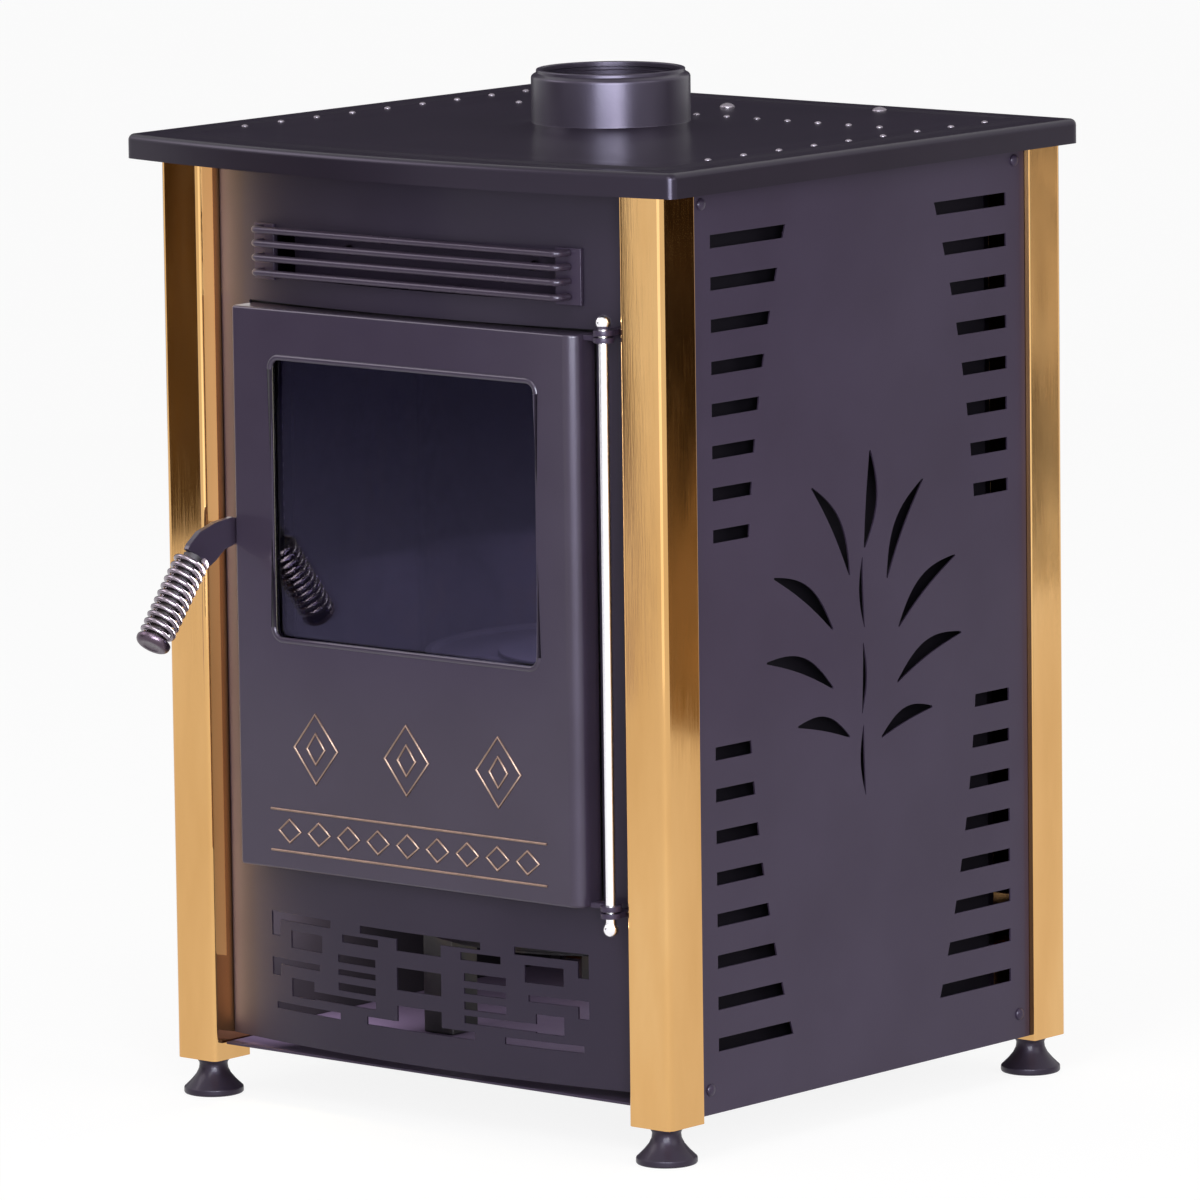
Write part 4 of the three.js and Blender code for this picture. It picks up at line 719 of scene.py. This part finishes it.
# each quadrilateral starts as wide as the panel; its left corners come over to the arc
here = addNode("SeparateXYZ", {0: addNode("InputPosition")})
square = mathNode("SQRT", mathNode("SUBTRACT", mathNode("POWER", given["Arc"], 2), mathNode("POWER", here.outputs["Y"], 2)))
sag = mathNode("SUBTRACT", given["Arc"], square)
edge = mathNode("SUBTRACT", mathNode("SUBTRACT", given["Outer"], given["Shortest"]), sag)
moved = addNode("SetPosition", {
    "Geometry": rows, "Selection": mathNode("LESS_THAN", here.outputs["X"], 0),
    "Position": addNode("CombineXYZ", {"X": edge, "Y": here.outputs["Y"]})})
flips = [addNode("Transform", {"Geometry": moved, "Scale": (x, y, 1)}) for y in (1, -1) for x in (1, -1)]
filled = addNode("FillCurve", {
    "Curve": addNode("JoinGeometry", {"Geometry": [given["Geometry"]] + flips})}, mode="TRIANGLES")
thick = addNode("ExtrudeMesh", {"Mesh": filled, "Offset Scale": given["Sheet"], "Individual": False}, mode="FACES")
back = addNode("FlipFaces", {"Mesh": filled})
both = addNode("JoinGeometry", {"Geometry": [thick, back]})
closeTree(addNode("MergeByDistance", {"Geometry": both, "Distance": 0.001}), given)

for hand, turnHalf in (("right", 0), ("left", pi)):
    z0, z1 = (z - side["middle"] for z in (side["low"], bodyTop))
    loops = [boxLoop(-side["halfSpan"], side["halfSpan"], z0, z1, side["corner"], 3)] + [leafLoop(*leaf) for leaf in sprig]
    made = runTree("slotted_side_" + hand, slotted, side["slots"], "bodyPaint",
                   curveFrom("outline", loops, dimensions="2D", fill_mode="NONE"))
    turn = Matrix.Rotation(turnHalf, 4, "Z")
    made.data.transform(toRow @ turn @ Matrix.Translation((side["outerX"] - sheet, 0, side["middle"])) @ lyingOnSide)
    folds = blocks("folds", [
        (side["outerX"] - side["fold"], side["outerX"] - side["foldInset"], y, y + sheet, side["low"], bodyTop)
        for y in (-side["halfSpan"], side["halfSpan"] - sheet)])
    folds.data.transform(toRow @ turn @ toRow.inverted())
    joined(made, folds)
    bevelled(made, 0.25)
    settle(made, "cabinet", "bodyPaint", ["side_panel_" + hand], sheetWay=Vector((1, 0, 0)))
print("side panels done")

screws = [((x * 245.2, y, z), (x, 0, 0)) for x in (1, -1) for y in (-189, 189) for z in (52, 720)]
screws += [((x, 236.2, z), (0, 1, 0)) for x in (-170, 170) for z in (70, 400, 712)]
headsOn("panel_screws", screws, 4.7, 2.6, 1, "bodyPaint")
print("screws done")

# ---- louvre: four bars on two strips, with two bright screws behind ----

louvre = {"halfSpan": 153, "frontY": -245.5, "stripX": 150.25, "stripDepth": 3.6, "bend": 6, "radius": 2.75,
          "heights": (682.5, 672, 661, 649.5)}
barTree, given = newTree("roundBars", {"Bend": 1.0, "Radius": 1.0})
bent = addNode("FilletCurve", {"Curve": given["Geometry"], "Radius": given["Bend"], "Count": 6}, mode="POLY")
closeTree(swept(bent, given["Radius"], 20), given)
stripY = bowedY(louvre["stripX"], **bow) - louvre["stripDepth"]
for index, height in enumerate(louvre["heights"], 1):
    route = [(-louvre["halfSpan"], stripY), (-louvre["halfSpan"], louvre["frontY"]),
             (louvre["halfSpan"], louvre["frontY"]), (louvre["halfSpan"], stripY)]
    host = curveFrom("route", [[toRow @ Vector((*p, height)) for p in route]], False, dimensions="3D")
    sizes = {"Bend": louvre["bend"] * mm, "Radius": louvre["radius"] * mm}
    # the bars take the lighter paint, painted light
    made = runTree(f"grille_bar_{index}", barTree, sizes, "barPaint", host)
    settle(made, "cabinet", "barPaint", [f"louvre_bar_{index}"], 50)
refineAll("cabinet", [
    ("louvre_strip_" + hand, "grille_strip_" + hand, 0.5, "bodyPaint", "body_paint") for hand in ("left", "right")])
headsOn("grille_screws", [((x, -202, 666), (0, -1, 0)) for x in (-93, 93)], 4.2, 2.4, 0.9, "brightSteel")
print("louvre done")

# ---- door ----

door = {"halfWidth": 172, "low": 190.5, "high": 623.5, "frontY": -250, "backY": -226, "sheet": 2, "hingeEdge": 12,
        "freeEdge": 3, "leastEdge": 0.6, "openBack": 6, "window": (-132, 132, 370, 585), "windowRadius": 8,
        "fold": 2.2, "innerFold": 0.8, "cutDepth": 30}


def doorBody(name, inset, foldRadius):
    half = door["halfWidth"] - inset
    front, back = door["frontY"] + inset, door["backY"] + (door["openBack"] if inset else 0)
    loop = roundedLoop([(-half, front, max(door["leastEdge"], door["freeEdge"] - inset)),
                        (half, front, door["hingeEdge"] - inset), (half, back), (-half, back)], 10)
    bm = prism(loop, door["low"] + inset, door["high"] - inset)
    # the top and bottom folds, all but the straight back edge
    folds = [e for e in bm.edges if abs(e.verts[0].co.z - e.verts[1].co.z) < 1e-6
             and not all(v.co.y > back - 1e-6 for v in e.verts)]
    bmesh.ops.bevel(bm, geom=folds, offset=foldRadius, segments=4, profile=0.5, affect="EDGES", clamp_overlap=True)
    return thingFrom(bm, name)


doorPiece = doorBody("door_front", 0, door["fold"])
cutWith(doorPiece, doorBody("doorHollow", door["sheet"], door["innerFold"]))
cutWith(doorPiece, plate("windowCut", [boxLoop(*door["window"], door["windowRadius"], 10)], door["cutDepth"], 0,
                         -door["frontY"] - door["cutDepth"] * 2 / 3, lyingOnFront))
bevelled(doorPiece, 0.7, 3, 40)
settle(doorPiece, "door", "doorPaint", ["door_shell"], 35)

bead = {"out": 1.4, "half": 2.3, "height": 1.7, "sunk": 0.5}
tree, given = newTree("windowBead", {"Width": 1.0, "Height": 1.0})
oval = addNode("Transform", {
    "Geometry": addNode("CurvePrimitiveCircle", {"Resolution": 20, "Radius": 1}),
    "Scale": addNode("CombineXYZ", {"X": given["Width"], "Y": given["Height"], "Z": 1})})
closeTree(addNode("CurveToMesh", {"Curve": given["Geometry"], "Profile Curve": oval}), given)
x0, x1, z0, z1 = door["window"]
out = bead["out"]
loop = boxLoop(x0 - out, x1 + out, z0 - out, z1 + out, door["windowRadius"] + out, 10)
host = routeCurve("beadRoute", [(p.x, door["frontY"] + bead["sunk"], p.y) for p in loop])
made = runTree("window_bead", tree, {"Width": bead["height"] * mm, "Height": bead["half"] * mm}, "doorPaint", host)
settle(made, "door", "doorPaint", smoothAngle=60)
refineAll("door", [
    ("glass_gasket", "window_gasket", 0.2, "sealRope", "rope"),
    ("glass_retainer", "window_retainer", 0.3, "heatedSteel", "dark_steel"),
    ("door_inner_frame", "door_liner", 0.4, "heatedSteel", "dark_steel"),
    ("door_lug_top", "hinge_lug_top", 0.5, "bodyPaint", "body_paint"),
    ("door_lug_bottom", "hinge_lug_bottom", 0.5, "bodyPaint", "body_paint"),
    ("lever_pivot_pin", "pivot_pin", 0.4, "brightSteel", "bright_steel"),
    ("door_glass", "stove_glass", 0.4, "smokedGlass", "door_glass")])
print("door done")

# ---- low relief on the door: a row of lozenges over a band between two lines ----

relief = {
    "face": -250.15, "ridge": 1.1, "lineHalf": 139, "lineRadius": 1.0,
    "rows": {  # count, pitch, height on the door, half width and half height of one lozenge
        "relief_large": (3, 92, 287, 22, 27), "relief_small": (3, 92, 287, 9, 12), "relief_band": (9, 30, 221, 11, 9)},
    "lines": {"relief_line_top": 237, "relief_line_low": 205}}
tree, given = newTree("lozengeRow", {"Count": 3, "Start": (0, 0, 0), "Pitch": (0, 0, 0), "Size": (1, 1, 1), "Ridge": 1.0})
row = addNode("MeshLine", {"Count": given["Count"], "Start Location": given["Start"], "Offset": given["Pitch"]})
upright = addNode("Transform", {
    "Geometry": addNode("CurvePrimitiveCircle", {"Resolution": 4, "Radius": 1}), "Rotation": (pi / 2, 0, 0)})
ridge = swept(addNode("Transform", {"Geometry": upright, "Scale": given["Size"]}), given["Ridge"], 8, False)
closeTree(addNode("InstanceOnPoints", {"Points": row, "Instance": ridge}), given)
for name, (count, pitch, height, halfX, halfZ) in relief["rows"].items():
    made = runTree(name, tree, {
        "Count": count, "Start": toRow @ Vector((-pitch * (count - 1) / 2, relief["face"], height)),
        "Pitch": (pitch * mm, 0.0, 0.0), "Size": (halfX * mm, 1.0, halfZ * mm), "Ridge": relief["ridge"] * mm},
        "reliefBronze")
    settle(made, "door", "reliefBronze", smoothAngle=60)
for name, height in relief["lines"].items():
    host = routeCurve(name, [(x, relief["face"], height) for x in (-relief["lineHalf"], relief["lineHalf"])], False)
    made = runTree(name, barTree, {"Bend": 0, "Radius": relief["lineRadius"] * mm}, "reliefBronze", host)
    settle(made, "door", "reliefBronze")
print("relief done")

# ---- hinge rod ----

rod = {"x": 195, "y": -243, "radius": 4, "ball": 6, "low": 177, "high": 634, "neck": 5.4}
profile = [(0, rod["low"] - rod["ball"])] + arcProfile(0, rod["low"], rod["ball"], -80, 42, 10)
profile += [(rod["radius"], rod["low"] + rod["neck"]), (rod["radius"], rod["high"] - rod["neck"])]
profile += arcProfile(0, rod["high"], rod["ball"], -42, 80, 10) + [(0, rod["high"] + rod["ball"])]
made = turned("hinge_bar", profile, 40, Matrix.Translation((rod["x"], rod["y"], 0)))
settle(made, "cabinet", "rodSteel", ["hinge_rod"], 40)
refineAll("cabinet", [("hinge_ear_" + end, "hinge_eye_" + end, 0.5, "bodyPaint", "body_paint") for end in ("top", "bottom")])
print("hinge done")

# ---- latch and its spring handle ----

handle = {"x": -175.5, "startY": -293.022, "startZ": 433.994, "tilt": 52, "length": 74, "coil": 11.75, "wire": 2.1,
          "turns": 11, "core": 8, "gap": 0.3}
onHandle = Matrix.Translation((handle["x"], handle["startY"], handle["startZ"])) @ Matrix.Rotation(
    pi / 2 + radians(handle["tilt"]), 4, "X")
tree, given = newTree("coiledGrip", {"Turns": 11.0, "Coil": 1.0, "Length": 1.0, "Wire": 1.0})
coil = addNode("CurveSpiral", {
    "Resolution": 28, "Rotations": given["Turns"], "Start Radius": given["Coil"], "End Radius": given["Coil"],
    "Height": given["Length"]})
closeTree(swept(coil, given["Wire"], 14), given)
made = runTree("grip_spring", tree, {
    "Turns": handle["turns"], "Coil": handle["coil"] * mm,
    "Length": (handle["length"] - 2 * handle["gap"] - 2 * handle["wire"]) * mm, "Wire": handle["wire"] * mm}, "springSteel")
made.data.transform(Matrix.Scale(1 / mm, 4))
made.data.transform(toRow @ onHandle @ Matrix.Translation((0, 0, handle["gap"] + handle["wire"])))
joined(made, outward=True)
settle(made, "latch", "springSteel", ["handle_spring"], 60)
coreProfile = [(0, handle["gap"]), (handle["core"], handle["gap"]), (handle["core"], handle["length"]), (0, handle["length"])]
settle(turned("grip_core", coreProfile, 40, onHandle), "latch", "heatedSteel", ["handle_core"])
capProfile = ([(0, 74.3), (12.4, 74.3)] + arcProfile(12.5, 75.6, 1.2, -80, 0, 4) + arcProfile(9.5, 76.6, 4.2, 0, 86, 8)
              + [(7, 80.9), (6.2, 80.3), (0, 80.3)])
settle(turned("grip_cap", capProfile, 48, onHandle), "latch", "capSteel", ["handle_end_cap"], 50)
settle(refined("latch_lever", "lift_lever", 0.8, 3), "latch", "doorPaint", ["latch_lever"])
print("latch done")

# ---- base, tray and the inner pieces, their edges eased; then the back ----

refineAll("cabinet", [
    ("base_pan", "floor_pan", 0.4, "bodyPaint", "body_paint"),
    ("upper_tray", "top_tray", 0.4, "bodyPaint", "body_paint"),
    ("outlet_deflector", "air_deflector", 0.3, "bodyPaint", "body_paint"),
    ("latch_keeper", "lever_keeper", 0.8, "heatedSteel", "dark_steel"),
    ("firebox_front_frame", "mouth_frame", 0.4, "heatedSteel", "dark_steel"),
    ("firebox_tunnel", "mouth_tunnel", 0.3, "heatedSteel", "dark_steel"),
    # the heat shield takes the near black paint, painted shade seen through the slots
    ("heat_shield", "wrap_shield", 0.3, "sootPaint", "dark_steel"),
    ("valve_bracket", "valve_stand", 0.4, "heatedSteel", "dark_steel"),
    ("fuel_valve_body", "valve_case", 1.5, "turnedBrass", "brass"),
    ("fuel_valve_cover", "valve_lid", 0.8, "screwSteel", "bright_steel")])
refineAll("cabinet", [
    ("firebox_leg_" + place, "drum_leg_" + place, 1.2, "heatedSteel", "dark_steel") for place, _, _ in cornerSides])

back = {"halfWidth": 208.7, "low": 50, "high": 730.7, "corner": 0.8, "rearY": 236, "slotX": (64, 126), "slotLow": 440,
        "slotHigh": 8, "slotCorner": 0.6, "pitch": 24, "rows": 9, "holes": ((188, 100, 4.6), (166, 86, 5.6))}
near, far = back["slotX"]
loops = [boxLoop(-back["halfWidth"], back["halfWidth"], back["low"], back["high"], back["corner"], 2)]
for z in (back["slotLow"] + back["pitch"] * row for row in range(back["rows"])):
    loops += [boxLoop(x0, x1, z, z + back["slotHigh"], back["slotCorner"], 3) for x0, x1 in ((near, far), (-far, -near))]
loops += [roundLoop(*hole) for hole in back["holes"]]
made = plate("vented_back", loops, sheet, 0.25, -back["rearY"], lyingOnFront)
settle(made, "cabinet", "bodyPaint", ["back_panel"], sheetWay=Vector((0, 1, 0)))
print("cabinet pieces done")

# ---- firebox and burner ----

drum = turned("fire_drum", [(156, 130.3), (158, 130.3), (158, 689.7), (156, 689.7)], 96)
cutWith(drum, plate("mouthCut", [boxLoop(-140, 140, 300, 600, 10)], 175, 0, 0, lyingOnFront))
settle(drum, "cabinet", "heatedSteel", ["firebox_drum"], 40)
crownProfile = [(51.7, 690), (157.2, 690), (158, 690.8), (157.2, 692), (55.5, 692), (53.7, 693.5), (53.7, 731), (51.7, 731)]
settle(turned("drum_crown", crownProfile, 96), "cabinet", "heatedSteel", ["firebox_top"], 40)
refineAll("cabinet", [("firebox_floor", "drum_floor", 0.3, "heatedSteel", "dark_steel"),
                      ("burner_pot", "fuel_pot", 0.4, "castIron", "cast_iron")])
ringProfile = [
    (82, 337), (83, 336.3), (148.4, 336.3), (149, 336.9), (149, 342.6), (148.3, 343.3), (143.8, 343.3), (143, 342.5),
    (141.5, 340.1), (140, 339.3), (82.8, 339.3), (82, 338.6)]
spreaderProfile = [
    (50, 340.4), (50.8, 339.6), (91.2, 339.6), (92, 340.4), (92, 341.8), (91.2, 342.6), (50.8, 342.6), (50, 341.8)]
settle(turned("fire_ring", ringProfile, 96), "cabinet", "castIron", ["burner_ring"], 40)
settle(turned("flame_spreader", spreaderProfile, 80), "cabinet", "castIron", ["flame_ring"], 40)
for node, name in (("fuel_feed_pipe", "feed_tube"), ("fuel_inlet_pipe", "inlet_tube")):
    settle(refined(node, name, 0.3), "cabinet", "drawnCopper", [node], 50)
print("firebox done")

# ---- rope seal of the door: three strands laid round a rounded rectangle ----

seal = {"loop": (-150, 150, 290, 610, 20, 10), "y": -222.2, "strand": 2.35, "squeezed": 0.98, "lay": 30}
tree, given = newTree("laidRope", {"Strand": 1.0, "Twist": 1.0})
dense = addNode("ResampleCurve", {"Curve": given["Geometry"], "Count": 620})
tilt = mathNode("MULTIPLY", addNode("SplineParameter").outputs["Length"], given["Twist"])
strand = addNode("CurvePrimitiveCircle", {"Resolution": 8, "Radius": given["Strand"]})
three = addNode("MeshCircle", {"Vertices": 3, "Radius": given["Strand"]})
bundle = addNode("RealizeInstances", {
    "Geometry": addNode("InstanceOnPoints", {"Points": three, "Instance": strand})})
closeTree(addNode("CurveToMesh", {
    "Curve": addNode("SetCurveTilt", {"Curve": dense, "Tilt": tilt}), "Profile Curve": bundle}), given)
made = runTree("mouth_rope", tree, {
    "Strand": seal["strand"] * mm * seal["squeezed"], "Twist": tau / (seal["lay"] * mm)}, "sealRope",
    routeCurve("sealRoute", [(p.x, seal["y"], p.y) for p in boxLoop(*seal["loop"])]))
joined(made, outward=True)
settle(made, "door", "sealRope", ["door_rope_seal"], 70)
print("rope done")

# ---- flow knob with ribs ----

knob = {"x": 188, "z": 100, "start": 145.3, "stem": 4, "stemEnd": 241, "ribs": 24, "ribCircle": 15.9,
        "ribSize": (1.05, 1.05, 5.5), "ribMiddle": 248}
facingRear = Matrix.Translation((knob["x"], 0, knob["z"])) @ Matrix.Rotation(-pi / 2, 4, "X")
knobProfile = (
    [(0, knob["start"]), (knob["stem"], knob["start"]), (knob["stem"], knob["stemEnd"]), (15, knob["stemEnd"])]
    + arcProfile(15, knob["stemEnd"] + 1, 1, -90, 0, 3) + [(16, 253)] + arcProfile(13.5, 254.5, 2.5, 0, 90, 5)
    + [(9, 257), (8.2, 256.2), (0, 256)])
made = turned("flow_dial", knobProfile, 64, facingRear)
tree, given = newTree("dialRibs", {"Count": 24, "Radius": 1.0, "Size": (1, 1, 1)})
circle = addNode("MeshCircle", {"Vertices": given["Count"], "Radius": given["Radius"]})
slim = addNode("Transform", {
    "Geometry": addNode("MeshUVSphere", {"Segments": 10, "Rings": 8, "Radius": 1}), "Scale": given["Size"]})
closeTree(addNode("InstanceOnPoints", {"Points": circle, "Instance": slim}), given)
ribs = runTree("ribs", tree, {"Count": knob["ribs"], "Radius": knob["ribCircle"], "Size": knob["ribSize"]}, "knobPlastic")
ribs.data.transform(toRow @ facingRear @ Matrix.Translation((0, 0, knob["ribMiddle"])))
joined(made, ribs)
settle(made, "knob", "knobPlastic", ["flow_knob"], 50)
print("knob done")

# ---- floor, light and camera ----

floorMesh = bpy.data.meshes.new("floor")
floorMesh.from_pydata([(-40, -40, 0), (40, -40, 0), (40, 40, 0), (-40, 40, 0)], [], [(0, 1, 2, 3)])
floor = link("floor", floorMesh)


def seenPlainly():
    # one for rays that should find plain white: the camera's, mirrors' and glass's
    path = addNode("LightPath").outputs
    most = mathNode("MAXIMUM", path["Is Camera Ray"], path["Is Glossy Ray"])
    return mathNode("MAXIMUM", most, path["Is Transmission Ray"])


def mixed(share, first, second):
    feed(work["tree"].nodes["Material Output"], {"Surface": addNode("MixShader", {0: share, 1: first, 2: second})})


floorLook, shader = newMaterial("paleFloor", 0, 0.9, {"Base Color": (0.86, 0.86, 0.86, 1)})
feed(shader, {"Roughness": spread(noise(objectSpot(), 3), 0.86, 0.94)})
white = addNode("Emission", {"Color": (1, 1, 1, 1), "Strength": 1.1})
mixed(mathNode("MULTIPLY", seenPlainly(), 0.8), shader, white)
floorMesh.materials.append(floorLook)

world = bpy.data.worlds.new("studio")
bpy.context.scene.world = world
world.use_nodes = True
work["tree"] = world.node_tree
strength = addNode("MapRange", {"Value": seenPlainly(), "To Min": 0.4, "To Max": 1})
feed(world.node_tree.nodes["Background"], {"Color": (1, 1, 1, 1), "Strength": strength})

# the lamps whose light only shines in what is glossy name what they leave out or shine on alone: the one along round
# edges standing up, the one along those lying level, two for the posts' edges and one for the grip's spring
atFront = {"at": (1.48, -1.74, 1.0), "aim": (0, 0, 0.6)}
lamps = {
    "keySoft": {"at": (3.75, -3.3, 1.25), "aim": (0, 0, 0.45), "size": (0.9, 1.3), "power": 62},
    "frontSoft": {"at": (0.7, -3.2, 3.4), "aim": (0, 0, 0.4), "size": (1.8, 1.8), "power": 45},
    "sideSoft": {"at": (3.9, 0.3, 2.2), "aim": (0, 0, 0.4), "size": (2.2, 2.2), "power": 30},
    "standingGlow": {**atFront, "size": (1.7, 1.2), "power": 110, "color": (0.88, 0.95, 1),
                     "shineOnly": ("EXCLUDE", "corner_")},
    "lyingGlow": {"at": (-1.7, -1.35, 1.9), "aim": (0, 0, 0.5), "size": (1.4, 1), "power": 14, "color": (1, 0.93, 1),
                  "shineOnly": ("EXCLUDE", "corner_")},
    "cornerGlow": {**atFront, "size": (1.5, 2), "power": 7, "color": (0.8, 0.88, 1), "shineOnly": ("INCLUDE", "corner_")},
    "leftCornerGlow": {**atFront, "size": (1.5, 2), "power": 12, "color": (0.85, 0.9, 1),
                       "shineOnly": ("INCLUDE", "corner_front_left")},
    "gripGlow": {"at": (-0.15, -0.209, 0.41), "aim": (-0.178, -0.27, 0.41), "size": (0.05, 0.1), "power": 0.35,
                 "shineOnly": ("INCLUDE", "grip_spring")},
    # the light that the left post and the panel's end throw at each other, and the little in, under and beside the drum
    "postBounce": {"at": (-0.2075, -0.186, 0.4), "aim": (0, -0.176, 0.4), "size": (0.018, 0.68), "power": 0.72,
                   "color": (1, 0.77, 0.36), "plain": True},
    "panelGlow": {"at": (-0.188, -0.1797, 0.6), "aim": (-0.256, -0.58, 0.6), "size": (0.034, 0.3), "power": 0.02},
    "panelGlowLow": {"at": (-0.188, -0.1797, 0.28), "aim": (-0.256, -0.58, 0.28), "size": (0.034, 0.34), "power": 0.009},
    "inDrum": {"at": (0, 0.046, 0.42), "aim": (0, 0.046, 0), "size": (0.24, 0.24), "power": 0.6},
    "underDrum": {"at": (0, 0.03, 0.124), "aim": (0, 0.03, 0), "size": (0.26, 0.26), "power": 0.7,
                  "color": (0.93, 1, 0.85), "plain": True},
    "besideDrum": {"at": (-0.15, -0.12, 0.13), "aim": (-0.3, -0.05, 0.09), "size": (0.06, 0.08), "power": 1.1,
                   "color": (1, 1, 0.9), "plain": True},
}


def chosenThings(rule, start):
    # the things that a lamp leaves out, or shines on alone
    chosen = bpy.data.collections.new(rule.lower() + "_" + start)
    for thing in bpy.data.objects:
        if thing.type == "MESH" and thing.name.startswith(start):
            chosen.objects.link(thing)
    for entry in chosen.collection_objects:
        entry.light_linking.link_state = rule
    return chosen


for name, lamp in lamps.items():
    light = bpy.data.lights.new(name, "AREA")
    light.shape = "RECTANGLE"
    light.size, light.size_y = lamp["size"]
    light.energy = lamp["power"]
    light.color = lamp.get("color", (1, 1, 1))
    made = link(name, light)
    made.location = lamp["at"]
    made.rotation_euler = (Vector(lamp["aim"]) - Vector(lamp["at"])).to_track_quat("-Z", "Y").to_euler()
    made.visible_camera = False
    made.visible_glossy = "plain" not in lamp
    if "shineOnly" in lamp:
        made.visible_diffuse = made.visible_transmission = False
        made.light_linking.receiver_collection = chosenThings(*lamp["shineOnly"])

# upright cards that only mirrors see: the room in the lid, the glass and the posts; colors run from foot to head,
# and a patchy one wavers between two strengths
cards = {
    "behind": {"ends": ((-4.2, 1.4), (-1.0, 4.9)), "low": 0, "high": 3.2, "foot": (0.02, 0.016, 0.03),
               "head": (0.03, 0.025, 0.04)},
    "glass": {"ends": ((-1.44, -1.6), (-1.04, -1.6)), "low": 0.05, "high": 0.9, "fade": 0.28, "foot": (0.5, 0.45, 0.8),
              "head": (0.02, 0.015, 0.05)},
    "leftPost": {"ends": ((-2.6, -1.6), (-1.445, -1.6)), "low": 0.18, "high": 0.9, "foot": (0.16, 0.11, 0.06),
                 "head": (0.1, 0.06, 0.025), "patchy": (0.5, 1.4)},
    "nearPost": {"ends": ((1.67, 1.22), (1.41, 1.52)), "low": 0, "high": 1.2, "foot": (0.5, 0.36, 0.22),
                 "head": (0.12, 0.08, 0.05), "patchy": (0.1, 1)},
    "rearPost": {"ends": ((1.6, 1.86), (1.47, 2.02)), "low": 0.08, "high": 0.75, "foot": (0.95, 0.9, 0.8),
                 "head": (1.35, 1.25, 1.15), "patchy": (0.16, 1.1)},
}
for name, card in cards.items():
    cardLook, shader = newMaterial("card_" + name, 0, 1, {"Base Color": (0, 0, 0, 1)})
    height = addNode("SeparateXYZ", {0: objectSpot()}).outputs["Z"]
    rise = spread(height, 0, 1, card["low"], card["low"] + card.get("fade", 0.4))
    glows = [addNode("Emission", {"Color": (*card[end], 1)}) for end in ("foot", "head")]
    if "patchy" in card:
        patches = spread(noise(objectSpot((1, 1, 0.25)), 16, 2, 0.5, 0.6), *card["patchy"], 0.45, 0.62)
        for glow in glows:
            feed(glow, {"Strength": patches})
    mixed(rise, *glows)
    (x0, y0), (x1, y1) = card["ends"]
    mesh = bpy.data.meshes.new("card")
    mesh.from_pydata([(x0, y0, card["low"]), (x1, y1, card["low"]), (x1, y1, card["high"]), (x0, y0, card["high"])],
                     [], [(0, 1, 2, 3)])
    mesh.materials.append(cardLook)
    made = link("card_" + name, mesh)
    made.visible_camera = made.visible_diffuse = made.visible_transmission = made.visible_shadow = False

camera = link("camera", bpy.data.cameras.new("camera"))
camera.data.lens = 300
camera.data.sensor_width = 36
camera.data.clip_end = 100
facing = Matrix((Vector((0.76420, 0.64486, -0.01285)), Vector((-0.08462, 0.11999, 0.98916)),
                 Vector((0.63941, -0.75483, 0.14627)))).transposed()
camera.matrix_world = Matrix.Translation((4.94843, -5.81635, 1.51447)) @ facing.to_4x4()
bpy.context.scene.camera = camera
bpy.context.scene.view_settings.view_transform = "Standard"
print("stage done")
